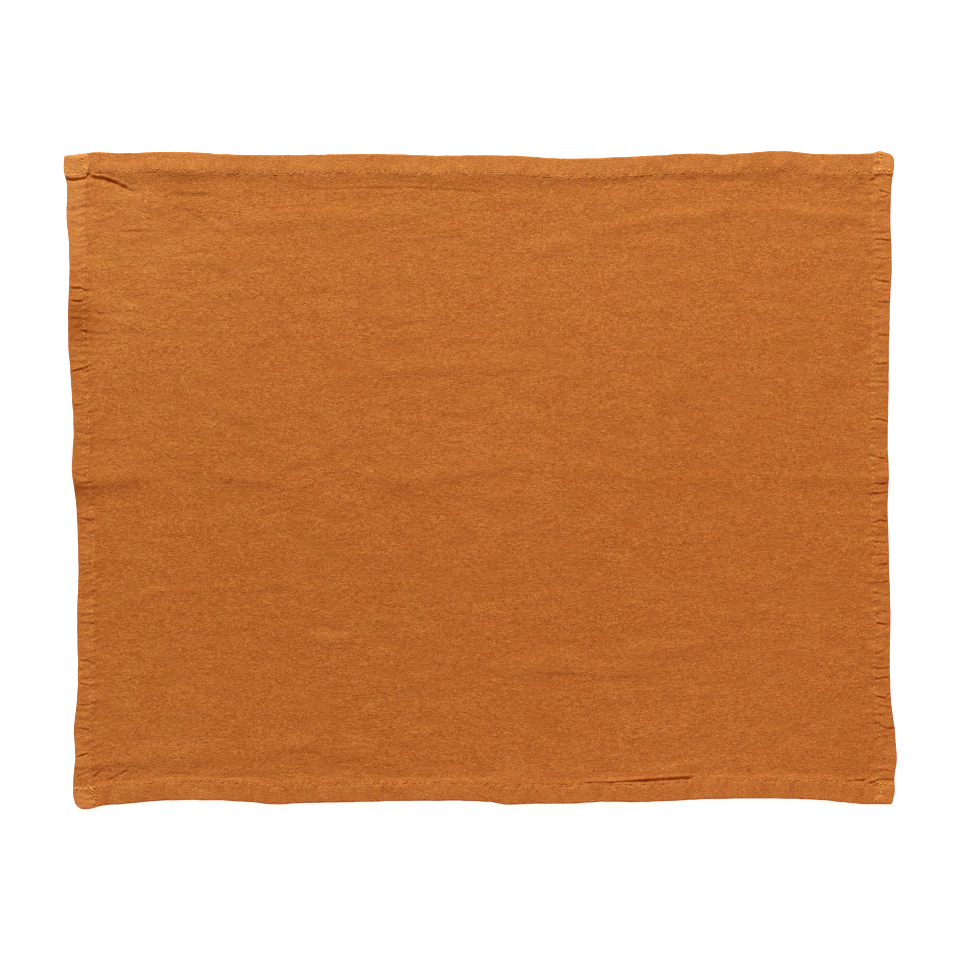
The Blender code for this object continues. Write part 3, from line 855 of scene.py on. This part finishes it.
    def hem(self, side: Side, along: Grid, inset: Grid) -> tuple[Grid, Grid, Grid]:
        """Upper face of one hem.

        Args:
            side: Which hem.
            along: Places along it, in metres.
            inset: Distances in from the edge, in metres.

        Returns:
            Real x, y and z of each place, in metres.
        """
        across, up = self.outline.to_flat(side, along, inset)
        x, y = self.outline.place(across, up)
        z = self.cloth + self.hem_rise + self.folds(x, y) + self.raised(HEM_CREASES + CROSSING, SHARP, x, y)
        seam = level_at(SEAM_INSETS[side], along)
        z = z + self.puckers(side, along, inset) + self.pillows(side, along, inset) - self.pressed
        z = z + self.gathers(side, along, inset - seam)
        z = z - self.seam_dip * hump(inset - seam, self.seam_half_width)
        z = z - DROPS[side] * MM * ease(seam - 1.2 * MM, self.depth(side, along), inset)
        z = z + self.hem_swell * uneven(x, y, HEM_SWELLS) + self.hem_grain * uneven(x, y, HEM_GRAIN)
        if not side.is_long:
            for end, long_side in ((1, Side.BACK), (-1, Side.FRONT)):
                place, depth_in = self.outline.from_side(long_side, across, up)
                past = depth_in - self.depth(long_side, place)
                z = z + CORNERS[side, end].rise * MM * ease(1.0 * MM, -0.6 * MM, past)
        return x, y, np.maximum(z, self.cloth + self.hem_thinnest)


class Layer(NamedTuple):
    """One layer of noise, with its weights in the dye and in the bump.

    Its cell is in millimetres, the place in its pattern in cells and its turn in radians.
    """

    along_weft: float
    along_warp: float
    detail: float
    place: float
    turn: float = 0.0
    tone_shift: float = 0.0
    bump: float = 0.0


# The long threads, the slubs, the weft, the warp, the fibres' grain and the mottled dye. A yarn is about
# 0.6 mm across, which is one pixel of the picture.
YARNS = (
    Layer(34.0, 0.75, 0, 11.0, tone_shift=0.19),
    Layer(7.0, 0.8, 2, 0.0, tone_shift=0.16, bump=0.10),
    Layer(2.6, 0.62, 0, 7.0, tone_shift=0.56, bump=0.14),
    Layer(0.62, 2.4, 0, 13.0, tone_shift=0.12),
    Layer(0.48, 0.40, 0, 3.0, tone_shift=1.85, bump=0.30),
    Layer(26.0, 15.0, 2, 5.0, tone_shift=0.12),
)
THIN_CREASES = (Layer(10.0, 4.2, 1.0, 9.0, 0.45), Layer(8.0, 3.8, 1.0, 23.0, -0.55))
SHORT_CREASES = Layer(3.8, 2.4, 1.5, 19.0, 0.2)
CREASE_PATCHES = Layer(24.0, 12.0, 1, 29.0)
BLOTCHES = Layer(16.0, 10.0, 1, 17.0)


def noise_at(tree: Tree, where: Socket, layer: Layer) -> Socket:
    """Noise with cells of a real size, about 0.5 on average."""
    cell = (layer.along_weft * MM, layer.along_warp * MM, layer.along_weft * MM)
    start = (layer.place * cell[0], layer.place * cell[1], 0)
    links = {"Vector": where, "Scale": cell, "Location": start, "Rotation": (0, 0, layer.turn)}
    sized = add_output(tree, "ShaderNodeMapping", links, vector_type="TEXTURE")
    links = {"Vector": sized, "Scale": 1.0, "Detail": layer.detail, "Roughness": 0.55}
    return add_output(tree, "ShaderNodeTexNoise", links, "Fac")


@dataclass(frozen=True)
class WashedLinen:
    """Plain-weave linen, piece-dyed rust orange and garment washed.

    Its spun flax yarns are uneven, so the weft shows as short darker and lighter slubs, and the dye
    is a little lighter where the layers of a hem have rubbed in the wash. Painted shade darkens the
    little crease valleys, and painted light and shade lie in broad patches, along the packing fold
    and along the hems.
    """

    name: str = "garment_washed_linen"
    deep: str = "#A24B0B"
    middle: str = "#C26A22"
    light: str = "#DD8B46"
    # Colour of the painted shade in the needle holes.
    shaded_hole: str = "#6B3312"
    roughness: float = 0.9
    sheen: float = 0.05
    average_tone: float = 0.498
    average_crease: float = 0.12
    # How much painted shade darkens the tone along the little crease valleys.
    valley: float = 0.35
    crease_share: float = 0.075
    thin_crease: float = 0.050
    short_crease: float = 0.09
    crease_ends: Ends = (0.35, 0.65, 0.35, 1.5)
    hue_ends: Ends = (0.3, 0.7, 0.498, 0.502)
    hole_ends: Ends = (0.15, 0.62, 1.0, 0.0)
    hole_shade: float = 0.30
    hole_depth: float = 0.10
    sewn: bool = False

    def ridges(self, tree: Tree, made: Socket) -> Socket:
        """Turn soft noise into thin creases that run where it crosses its average: 0 there, 1 beside them."""
        away = work_out(tree, "ABSOLUTE", work_out(tree, "SUBTRACT", made, 0.5))
        return stretch(tree, away, (0.0, self.crease_share, 0.0, 1.0), "SMOOTHSTEP")

    def weighted(self, tree: Tree, parts: list[tuple[Socket, float]], total: float) -> Socket:
        """Sum of parts about their average of 0.5, each times its weight, on top of a starting total."""
        for socket, weight in parts:
            total = work_out(tree, "MULTIPLY_ADD", work_out(tree, "SUBTRACT", socket, 0.5), weight, total)
        return total

    def creases(self, tree: Tree, where: Socket) -> Socket:
        """Heights of the finest creases in millimetres, in patches and where the cloth is crinkled."""
        thin = [self.ridges(tree, noise_at(tree, where, layer)) for layer in THIN_CREASES]
        total = work_out(tree, "MULTIPLY", work_out(tree, "ADD", *thin), self.thin_crease)
        short = noise_at(tree, where, SHORT_CREASES)
        total = work_out(tree, "MULTIPLY_ADD", short, self.short_crease, total)
        share = stretch(tree, noise_at(tree, where, CREASE_PATCHES), self.crease_ends)
        share = work_out(tree, "MULTIPLY", share, point_value(tree, "crinkled"))
        return work_out(tree, "MULTIPLY", total, share)

    def colour_with_painted_shade(self, tree: Tree, where: Socket, yarns: list[Socket], creases: Socket) -> Socket:
        """Colour of the cloth: dyed, with painted shade in the little crease valleys, and the painted light and
        shade and hem wear of each point's tone shift.

        Args:
            tree: The material's tree.
            where: The piece's own coordinates, in metres.
            yarns: The noise of each layer in YARNS.
            creases: Heights of the finest creases.

        Returns:
            The colour.
        """
        parts = [(socket, layer.tone_shift) for socket, layer in zip(yarns, YARNS)]
        tone = self.weighted(tree, parts, self.average_tone - self.valley * self.average_crease)
        # Painted shade: the tone drops along the little crease valleys.
        tone = work_out(tree, "MULTIPLY_ADD", creases, self.valley, tone)
        # Each point's tone shift adds painted light and shade, and on the hems their wear.
        tone = work_out(tree, "ADD", tone, point_value(tree, "tone_shift"))
        ramp = add_node(tree, "ShaderNodeValToRGB", {"Fac": tone})
        ramp.color_ramp.elements[0].color = linear_colour(self.deep)
        ramp.color_ramp.elements[1].color = linear_colour(self.light)
        ramp.color_ramp.elements.new(0.5).color = linear_colour(self.middle)
        hue = stretch(tree, noise_at(tree, where, BLOTCHES), self.hue_ends)
        return add_output(tree, "ShaderNodeHueSaturation", {"Color": ramp.outputs[0], "Hue": hue})

    def material(self) -> Material:
        """Build the material."""
        made, shader = start_material(self.name, {
            "Roughness": self.roughness, "Sheen Weight": self.sheen, "Sheen Roughness": 0.6,
            "Specular IOR Level": 0.12,
        })
        tree = made.node_tree
        where = add_output(tree, "ShaderNodeTexCoord", output="Object")
        yarns = [noise_at(tree, where, layer) for layer in YARNS]
        creases = self.creases(tree, where)
        colour = self.colour_with_painted_shade(tree, where, yarns, creases)
        parts = [(socket, layer.bump) for socket, layer in zip(yarns, YARNS) if layer.bump]
        height = work_out(tree, "ADD", creases, self.weighted(tree, parts, 0.0))
        if self.sewn:
            colour, height = self.sew(tree, colour, height)
        normal = add_output(tree, "ShaderNodeBump", {"Height": height, "Distance": MM, "Strength": 1.0})
        tree.links.new(normal, shader.inputs["Normal"])
        tree.links.new(colour, shader.inputs["Base Color"])
        return made

    def sew(self, tree: Tree, colour: Socket, height: Socket) -> tuple[Socket, Socket]:
        """Add the needle holes, which the thread has pinched into the cloth: a small dip in the bump, with
        painted shade in each hole.

        Args:
            tree: The material's tree.
            colour: The cloth's colour so far.
            height: The cloth's height so far, in millimetres.

        Returns:
            The colour with painted shade in the holes, and the height with their dips.
        """
        pitch = STITCH_PITCH / MM
        uv = add_output(tree, "ShaderNodeUVMap", uv_map="sewing")
        split = add_node(tree, "ShaderNodeSeparateXYZ", {0: uv}).outputs
        off = work_out(tree, "SUBTRACT", work_out(tree, "FRACT", split[0]), 0.5)
        near = work_out(tree, "MULTIPLY_ADD", work_out(tree, "ABSOLUTE", off), -pitch, pitch / 2)
        spot = add_output(tree, "ShaderNodeCombineXYZ", {0: near, 1: split[1]})
        far = add_output(tree, "ShaderNodeVectorMath", {0: spot}, "Value", operation="LENGTH")
        shaded_hole = stretch(tree, far, self.hole_ends, "SMOOTHSTEP")
        shade = work_out(tree, "MULTIPLY", shaded_hole, self.hole_shade)
        # Painted shade: each needle hole is darkened towards a deep brown.
        colour = mixed(tree, shade, colour, linear_colour(self.shaded_hole))
        return colour, work_out(tree, "MULTIPLY_ADD", shaded_hole, -self.hole_depth, height)


@dataclass(frozen=True)
class SewingThread:
    """Spun sewing thread, dyed a shade lighter and more golden than the cloth, with a soft lustre."""

    name: str = "spun_sewing_thread"
    sunk: str = "#E99F52"
    proud: str = "#F9BC4C"
    roughness: float = 0.7
    spun: float = 1.4 * MM
    value_ends: Ends = (0.3, 0.7, 0.85, 1.12)

    def material(self) -> Material:
        """Build the material."""
        made, shader = start_material(self.name, {
            "Roughness": self.roughness, "Sheen Weight": 0.02, "Specular IOR Level": 0.12,
        })
        tree = made.node_tree
        where = add_output(tree, "ShaderNodeTexCoord", output="Object")
        fibres = {"Vector": where, "Scale": 1 / self.spun, "Detail": 1.0}
        value = stretch(tree, add_output(tree, "ShaderNodeTexNoise", fibres, "Fac"), self.value_ends)
        colour = mixed(tree, point_value(tree, "corner"), linear_colour(self.sunk), linear_colour(self.proud))
        toned = add_output(tree, "ShaderNodeHueSaturation", {"Color": colour, "Value": value})
        tree.links.new(toned, shader.inputs["Base Color"])
        return made


@dataclass
class ClothPanel:
    """The single cloth: a thin sheet on the solid's folds that runs on under the four hems."""

    relief: Relief
    finish: Material
    thickness: float = 0.55 * MM
    hidden_edge: float = 1.5 * MM
    side_hem: float = 11.4 * MM
    long_hem: float = 12.7 * MM
    border_x: float = 40 * MM
    border_y: float = 31 * MM
    border_pitch_x: float = 1.1 * MM
    border_pitch_y: float = 0.6 * MM
    middle_pitch_x: float = 3.2 * MM
    middle_pitch_y: float = 0.95 * MM
    under_step: int = 3
    off_floor: float = 0.03 * MM

    def lines(self, half: float, hem: float, border: float, border_pitch: float, middle_pitch: float) -> Grid:
        """Grid lines across the sheet: few under the hems, close beside them, wider in the middle."""
        hidden = np.linspace(half - self.hidden_edge, half - hem + 1.0 * MM, 6)
        close = np.arange(half - hem + 0.4 * MM, half - border, -border_pitch)
        steps = max(2, round(2 * close[-1] / middle_pitch))
        middle = np.linspace(-close[-1], close[-1], steps + 1)[1:-1]
        outer = np.concatenate([hidden, close])
        return np.concatenate([-outer, middle, outer[::-1]])

    def build(self) -> Piece:
        """Build and dress the sheet."""
        half_x, half_y = self.relief.outline.length / 2, self.relief.outline.width / 2
        across, up = np.meshgrid(
            self.lines(half_x, self.side_hem, self.border_x, self.border_pitch_x, self.middle_pitch_x),
            self.lines(half_y, self.long_hem, self.border_y, self.border_pitch_y, self.middle_pitch_y),
            indexing="ij",
        )
        x, y, z = self.relief.panel(across, up)
        top = np.arange(x.size).reshape(x.shape)
        under_x, under_y = [sorted({*range(0, size, self.under_step), size - 1}) for size in x.shape]
        picked = np.ix_(under_x, under_y)
        low_x, low_y = x[picked], y[picked]
        low_z = self.underside(across[picked], up[picked], low_x, low_y)
        low = top.size + np.arange(low_x.size).reshape(low_x.shape)
        faces = grid_faces(top) + grid_faces(low.T)
        for end in (0, -1):
            for places, edge, low_edge in ((under_x, top[:, end], low[:, end]), (under_y, top[end], low[end])):
                for k, (a, b) in enumerate(zip(places, places[1:])):
                    faces.append((*edge[a : b + 1], low_edge[k + 1], low_edge[k]))
        layers = ((x, y, z), (low_x, low_y, low_z))
        verts = np.concatenate([np.stack(layer, -1).reshape(-1, 3) for layer in layers])
        piece = mesh_object("linen_cloth", verts, faces, self.finish)
        # The tone shift is painted light and shade, in broad patches and along the packing fold.
        add_attribute(piece.data, "tone_shift", self.relief.tone_shift(verts[:, 0], verts[:, 1]))
        add_attribute(piece.data, "crinkled", self.relief.restless(verts[:, 0], verts[:, 1]))
        return piece

    def underside(self, across: Grid, up: Grid, x: Grid, y: Grid) -> Grid:
        """Heights of the lower face: a cloth's thickness down, and on the floor under the hems."""
        z = self.relief.cloth + self.relief.folds(x, y) - self.thickness
        for side in Side:
            along, inset = self.relief.outline.from_side(side, across, up)
            z = z * ease(-2.5 * MM, 5 * MM, inset - self.relief.depth(side, along))
        return np.maximum(z, self.off_floor)


@dataclass
class Hem:
    """One turned hem: a flat roll of cloth with a rounded outer fold and a rounded inner one."""

    relief: Relief
    side: Side
    finish: Material
    pitch: float = 0.7 * MM
    side_pitch: float = 0.5 * MM
    flat_steps: int = 18
    outer_round: float = 0.9 * MM
    inner_round: float = 0.8 * MM
    foot: float = 0.1 * MM
    buried: float = 0.35 * MM
    inner_foot: float = 0.6 * MM
    end_round: float = 0.9 * MM
    end_middle: float = 1.3 * MM
    set_back: float = 4.5 * MM
    end_least: float = 0.06
    depth_vary: float = 0.25 * MM
    rub_vary: float = 0.35
    most_rubbed: float = 1.4
    # Weight of the hem's rubbed dye and painted light in its tone.
    wear_and_light_tone: float = 0.30
    crinkled: float = 0.8

    def stations(self) -> Grid:
        """Places along the hem. The long hems stop just inside the side hems that cover their ends."""
        half = self.relief.outline.half(self.side)
        if self.side.is_long:
            half -= self.set_back
            return np.linspace(-half, half, round(2 * half / self.pitch) + 1)
        ends = half - self.end_round * (1 - np.sin(np.linspace(0, math.pi / 2, 6)))[1:]
        inner = np.linspace(-half + self.end_round, half - self.end_round, round(2 * half / self.side_pitch))
        return np.concatenate([-(ends[::-1]), inner[1:-1], ends])

    def profile(self, depth: Grid) -> Iterable[tuple[Grid, float, float]]:
        """Walk round the roll's cross-section: the outer fold, the top, the inner fold and the underside.

        Args:
            depth: How deep the hem is at each station, in metres.

        Returns:
            For each ring of points, its insets, the share of the hem's height, and where that height starts.
        """
        inner, span = depth - self.inner_round, depth - self.outer_round
        for angle in np.linspace(-math.pi / 2, math.pi / 2, 8):
            yield self.outer_round * (1 - math.cos(angle)) + 0 * depth, (1 + math.sin(angle)) / 2, self.foot
        for share in np.linspace(0, 1, self.flat_steps + 1)[1:-1]:
            yield self.outer_round + share * (inner - self.outer_round), 1.0, self.foot
        for angle in np.linspace(math.pi / 2, -0.35, 8):
            yield depth - self.inner_round * (1 - math.cos(angle)), (1 + math.sin(angle)) / 2, self.inner_foot
        for share in (0.8, 0.5, 0.2):
            yield self.outer_round + share * span, 0.0, self.buried

    def build(self) -> Piece:
        """Build and dress the roll."""
        along, relief = self.stations(), self.relief
        depth = relief.depth(self.side, along) + self.depth_vary * uneven(along, along * 0, HEM_DEPTH)
        inset, rise, foot = (np.array(part) for part in zip(*self.profile(depth)))
        rise, foot = rise[:, None], foot[:, None]
        place = np.broadcast_to(along, inset.shape)
        inset = self.rounded(place, inset, depth)
        x, y, top = relief.hem(self.side, place, inset)
        z = foot + (top - foot) * rise
        if not self.side.is_long:
            share = np.clip(1 - (relief.outline.half(self.side) - np.abs(place)) / self.end_round, 0, 1)
            z = self.end_middle + (z - self.end_middle) * np.sqrt(np.maximum(1 - share**2, self.end_least))
        number = np.arange(x.size).reshape(x.shape)
        faces = grid_faces(np.vstack([number, number[:1]])) + [number[:, 0], number[::-1, -1]]
        piece = mesh_object(f"hem_{self.side.label}", zip(x.ravel(), y.ravel(), z.ravel()), faces, self.finish)
        # The tone shift holds painted light and shade, plus the hem's rubbed dye and painted light along it.
        add_attribute(piece.data, "tone_shift", relief.tone_shift(x, y) + self.wear_and_light_tone * self.rubbing_and_painted_light(place, inset))
        add_attribute(piece.data, "crinkled", np.full(x.size, self.crinkled))
        self.lay_sewing_map(piece.data, place, inset)
        return piece

    def rounded(self, along: Grid, inset: Grid, depth: Grid) -> Grid:
        """Draw a side hem's outer edge in towards its ends, so that the corners are round from above."""
        if self.side.is_long:
            return inset
        for end in (1, -1):
            radius = CORNERS[self.side, end].round * MM
            near = np.clip(radius - (self.relief.outline.half(self.side) - end * along), 0, radius)
            shift = radius - np.sqrt(radius**2 - near**2)
            inset = shift + inset * (1 - shift / depth)
        return inset

    def rubbing_and_painted_light(self, along: Grid, inset: Grid) -> Grid:
        """How much lighter the hem is: rubbed dye with painted light along it, and more rubbed dye on the thick
        corners.
        """
        # The table's lightening is partly rubbed dye and partly painted light.
        rub = level_at(RUBBED_DYE_AND_PAINTED_LIGHT[self.side], along) + self.rub_vary * uneven(along, inset, RUBBING)
        if not self.side.is_long:
            for end in (1, -1):
                from_end = self.relief.outline.half(self.side) - end * along
                rub = rub + CORNERS[self.side, end].rub * ease(14 * MM, 12 * MM, from_end)
        return np.clip(rub, 0, self.most_rubbed)

    def lay_sewing_map(self, mesh: bpy.types.Mesh, along: Grid, inset: Grid) -> None:
        """Lay the map that the seam follows: stitches counted along it, millimetres across it."""
        u = np.broadcast_to(Seam(self.relief, self.side).stitch_number(along[0]), along.shape).ravel()
        v = ((inset - level_at(SEAM_INSETS[self.side], along)) / MM).ravel()
        loops = np.zeros(len(mesh.loops), np.int32)
        mesh.loops.foreach_get("vertex_index", loops)
        pairs = np.stack([u[loops], v[loops]], 1).astype(np.float32)
        mesh.uv_layers.new(name="sewing").data.foreach_set("uv", pairs.ravel())


@dataclass
class Seam:
    """The line of one row of stitches, from edge to edge."""

    relief: Relief
    side: Side
    overhang: float = 1.2 * MM
    sample: float = 0.7 * MM

    def points(self) -> tuple[Grid, Grid]:
        """Places along the side, and the line's points on top of the cloth, in metres."""
        relief, outline = self.relief, self.relief.outline
        half = outline.half(self.side) - self.overhang
        along = np.linspace(-half, half, round(2 * half / self.sample))
        inset = level_at(SEAM_INSETS[self.side], along)
        x, y, z = relief.hem(self.side, along, inset)
        if self.side.is_long:
            across, up = outline.to_flat(self.side, along, inset)
            for short in (Side.LEFT, Side.RIGHT):
                place, depth_in = outline.from_side(short, across, up)
                z = np.where(depth_in < relief.depth(short, place), relief.hem(short, place, depth_in)[2], z)
        return along, np.stack([x, y, z], 1)

    def length_to(self, points: Grid) -> Grid:
        """Length of the line up to each of its points."""
        steps = np.linalg.norm(np.diff(points[:, :2], axis=0), axis=1)
        return np.concatenate([[0.0], np.cumsum(steps)])

    def stitches(self) -> int:
        """How many whole stitches the line has."""
        return round(float(self.length_to(self.points()[1])[-1]) / STITCH_PITCH)

    def stitch_number(self, along: Grid) -> Grid:
        """Number of the stitch at places along the side, counted from its start."""
        places, points = self.points()
        length = self.length_to(points)
        return np.interp(along, places, length / length[-1] * self.stitches())


class Row(NamedTuple):
    """One row of stitches: its line's points, how near each is to a corner, and the number of stitches."""

    points: Grid
    near_corner: Grid
    stitches: int


@dataclass
class Stitching:
    """All four rows of lockstitch and their end tacks, laid along their lines by a node tree."""

    relief: Relief
    finish: Material
    thread: float = 0.58 * MM
    float_length: float = 1.75 * MM
    lift: float = 0.12 * MM
    tack_pitch: float = 1.84 * MM
    tack_points: int = 12
    tacked_stitches: int = 4
    sway: tuple[tuple, tuple] = ((-0.05, -0.10, 0.0), (0.05, 0.10, 0.4))
    plumpness: tuple[tuple, tuple] = ((0.85, 0.8, 0.8), (1.1, 1.15, 1.15))
    corner_slant: float = 0.55
    corner_fuller: float = 0.2
    seed: int = 7

    def seam_row(self, side: Side) -> Row:
        """The row along one side, which ends where the tacks of a side hem begin."""
        seam = Seam(self.relief, side)
        along, points = seam.points()
        near_corner = ease(15 * MM, 11 * MM, abs(along[0]) - np.abs(along))
        tacked = 0 if side.is_long else self.tacked_stitches
        number = seam.stitch_number(along)
        at = np.linspace(tacked, seam.stitches() - tacked, len(along))
        points = np.stack([np.interp(at, number, column) for column in points.T], 1)
        return Row(points, np.interp(at, number, near_corner), seam.stitches() - 2 * tacked)

    def tack_row(self, side: Side, tack: Tack) -> Row:
        """The close stitches of one tack."""
        along = np.linspace(tack.from_along, tack.to_along, self.tack_points) * MM
        inset = np.linspace(tack.from_inset, tack.to_inset, self.tack_points) * MM
        points = np.stack(self.relief.hem(side, along, inset), 1)
        length = float(np.hypot(along[-1] - along[0], inset[-1] - inset[0]))
        return Row(points, np.ones(len(along)), round(length / self.tack_pitch))

    def path(self) -> Piece:
        """The seams and their end tacks as lines, with what each point says about its stitches."""
        rows = [self.seam_row(side) for side in Side]
        rows += [self.tack_row(side, tack) for (side, _), tack in TACKS.items()]
        points = np.concatenate([row.points for row in rows])
        near_corner = np.concatenate([row.near_corner for row in rows])
        points[:, 2] += self.lift * (1 + 2 * near_corner)
        starts = np.cumsum([0] + [len(row.points) for row in rows]).tolist()
        mesh = bpy.data.meshes.new("seam_lines")
        edges = [(i, i + 1) for start, end in zip(starts, starts[1:]) for i in range(start, end - 1)]
        mesh.from_pydata(points.tolist(), edges, [])
        holes = np.concatenate([np.full(len(row.points), row.stitches + 1) for row in rows])
        add_attribute(mesh, "holes", holes, "INT")
        add_attribute(mesh, "corner", near_corner)
        return link_object("seam_lines", mesh)

    def tree(self) -> Tree:
        """The node tree that lays one thread float over each gap between two needle holes."""
        tree = bpy.data.node_groups.new("lockstitch_row", "GeometryNodeTree")
        ports = tree.interface
        ports.new_socket("Seams", in_out="INPUT", socket_type="NodeSocketGeometry")
        lengths = {"Float Length": self.float_length, "Thread Width": self.thread, "Pitch": STITCH_PITCH}
        for name, value in lengths.items():
            ports.new_socket(name, in_out="INPUT", socket_type="NodeSocketFloat").default_value = value
        ports.new_socket("Seed", in_out="INPUT", socket_type="NodeSocketInt").default_value = self.seed
        ports.new_socket("Thread", in_out="INPUT", socket_type="NodeSocketMaterial")
        ports.new_socket("Stitches", in_out="OUTPUT", socket_type="NodeSocketGeometry")
        given = add_node(tree, "NodeGroupInput").outputs

        def new(kind: str, links: dict | None = None, output: int | str = 0, **settings) -> Socket:
            """Add a node to this tree and give back one of its outputs."""
            return add_output(tree, kind, links, output, **settings)

        def chance(ends: tuple[tuple, tuple]) -> Socket:
            """Draw three numbers for each float of thread, between two ends."""
            links = {0: ends[0], 1: ends[1], "Seed": given["Seed"]}
            return new("FunctionNodeRandomValue", links, data_type="FLOAT_VECTOR")

        wanted = new("GeometryNodeInputNamedAttribute", {"Name": "holes"}, "Attribute", data_type="INT")
        corner = new("GeometryNodeInputNamedAttribute", {"Name": "corner"}, "Attribute", data_type="FLOAT")
        lines = new("GeometryNodeMeshToCurve", {0: given["Seams"]})
        holes = new("GeometryNodeResampleCurve", {"Curve": lines, "Count": wanted}, mode="COUNT")

        # One float of thread: a long ball that starts at its needle hole.
        ball = new("GeometryNodeMeshUVSphere", {"Segments": 8, "Rings": 6, "Radius": 0.5}, "Mesh")
        width = given["Thread Width"]
        size = new("ShaderNodeCombineXYZ", {0: given["Float Length"], 1: width, 2: width})
        middle = new("ShaderNodeCombineXYZ", {0: work_out(tree, "MULTIPLY", given["Pitch"], 0.5)})
        strand = new("GeometryNodeTransform", {"Geometry": ball, "Scale": size, "Translation": middle})

        # Each float leans and swells a little by chance. Those at the corners lie slanted and are fuller.
        along = new("FunctionNodeAlignRotationToVector", {"Vector": new("GeometryNodeInputTangent")}, axis="X")
        slant = new("ShaderNodeCombineXYZ", {2: work_out(tree, "MULTIPLY", corner, self.corner_slant)})
        lean = new("ShaderNodeVectorMath", {0: chance(self.sway), 1: slant}, operation="ADD")
        leaning = new("FunctionNodeRotateRotation", {0: along, 1: lean}, rotation_space="LOCAL")
        fuller = work_out(tree, "MULTIPLY_ADD", corner, self.corner_fuller, 1.0)
        plump = new("ShaderNodeVectorMath", {0: chance(self.plumpness), "Scale": fuller}, operation="SCALE")

        last = new("GeometryNodeCurveEndpointSelection", {"Start Size": 0, "End Size": 1})
        inner = new("FunctionNodeBooleanMath", {0: last}, operation="NOT")
        laid = new("GeometryNodeInstanceOnPoints", {"Points": holes, "Selection": inner, "Instance": strand,
                                                    "Rotation": leaning, "Scale": plump})
        smooth = new("GeometryNodeSetShadeSmooth", {0: new("GeometryNodeRealizeInstances", {0: laid})})
        dressed = new("GeometryNodeSetMaterial", {"Geometry": smooth, "Material": given["Thread"]})
        add_node(tree, "NodeGroupOutput", {"Stitches": dressed})
        return tree

    def build(self) -> Piece:
        """Lay the stitches and turn them into a plain mesh."""
        path, tree = self.path(), self.tree()
        laying = path.modifiers.new("lay_stitches", "NODES")
        laying.node_group = tree
        for item in tree.interface.items_tree:
            if item.name == "Thread":
                laying[item.identifier] = self.finish
        mesh = bpy.data.meshes.new_from_object(path.evaluated_get(bpy.context.evaluated_depsgraph_get()))
        mesh.name = "hem_stitches"
        bpy.data.objects.remove(path)
        return link_object("hem_stitches", mesh)


class Lamp(NamedTuple):
    """One soft round light: its place and size in metres, its power and its colour."""

    name: str
    place: tuple[float, float, float]
    size: float
    power: float
    colour: tuple[float, float, float]


@dataclass
class Studio:
    """A pale floor, a large soft light from behind, a weak warm one in front and a camera straight above."""

    camera_height: float = 3.0
    sensor_width: float = 36.0
    floor_side: float = 30.0
    floor_level: float = -0.05 * MM
    floor_glow: float = 0.85
    key: Lamp = Lamp("soft_key", (-0.45, 2.42, 1.98), 0.9, 143.0, (0.70, 0.91, 1.0))
    bounce: Lamp = Lamp("warm_bounce", (0.45, -0.70, 1.50), 1.2, 9.6, (1.0, 0.31, 0.05))
    fill: float = 0.10

    def build(self) -> None:
        """Build the studio round the mat."""
        self.set_floor()
        self.set_light()
        self.set_camera()

    def set_floor(self) -> None:
        """Lay the floor."""
        made, _ = start_material("matt_white_paper", {
            "Base Color": linear_colour("#F4F4F4"), "Roughness": 0.9, "Specular IOR Level": 0.1,
            "Emission Color": linear_colour("#FFFFFF"), "Emission Strength": self.floor_glow,
        })
        half = self.floor_side / 2
        corners = [(a * half, b * half, self.floor_level) for a, b in ((-1, -1), (1, -1), (1, 1), (-1, 1))]
        floor = mesh_object("floor", corners, [(0, 1, 2, 3)], made)

    def set_light(self) -> None:
        """Hang the two soft lights and set the fill."""
        for row in (self.key, self.bounce):
            lamp = bpy.data.lights.new(row.name, "AREA")
            lamp.shape = "DISK"
            lamp.size, lamp.energy, lamp.color = row.size, row.power, row.colour
            hung = link_object(row.name, lamp)
            hung.location = row.place
            hung.rotation_mode = "QUATERNION"
            hung.rotation_quaternion = (-Vector(row.place)).to_track_quat("-Z", "Y")
            hung.visible_camera = False
        world = bpy.data.worlds.new("soft_fill")
        world.use_nodes = True
        world.node_tree.nodes["Background"].inputs["Color"].default_value = linear_colour("#FFF6EA")
        world.node_tree.nodes["Background"].inputs["Strength"].default_value = self.fill
        bpy.context.scene.world = world

    def set_camera(self) -> None:
        """Stand the camera straight above the mat, with the picture's frame."""
        lens = bpy.data.cameras.new("straight_down")
        lens.sensor_width = self.sensor_width
        lens.lens = self.sensor_width * self.camera_height / (IMAGE_SIDE * MM_PER_PIXEL * MM)
        lens.clip_start, lens.clip_end = 0.1, 60
        camera = link_object("straight_down", lens)
        camera.location = (0, 0, self.camera_height)
        bpy.context.scene.camera = camera
        bpy.context.scene.view_settings.view_transform = "Standard"


def main() -> None:
    """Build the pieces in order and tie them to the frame."""
    logging.basicConfig(level=logging.INFO, format="%(name)s: %(message)s")
    relief = Relief(Outline())
    plain = WashedLinen().material()
    sewn = WashedLinen(name="garment_washed_linen_hem", sewn=True).material()
    panel = ClothPanel(relief, plain).build()
    hems = [Hem(relief, side, sewn).build() for side in Side]
    stitches = Stitching(relief, SewingThread().material()).build()
    Studio().build()
    pieces = [panel, *hems, stitches]
    for piece in pieces:
        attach(piece, "root")
        log.info("%s: %d faces", piece.name, len(piece.data.polygons))
    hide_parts("placemat_cloth")


if __name__ == "__main__":
    main()
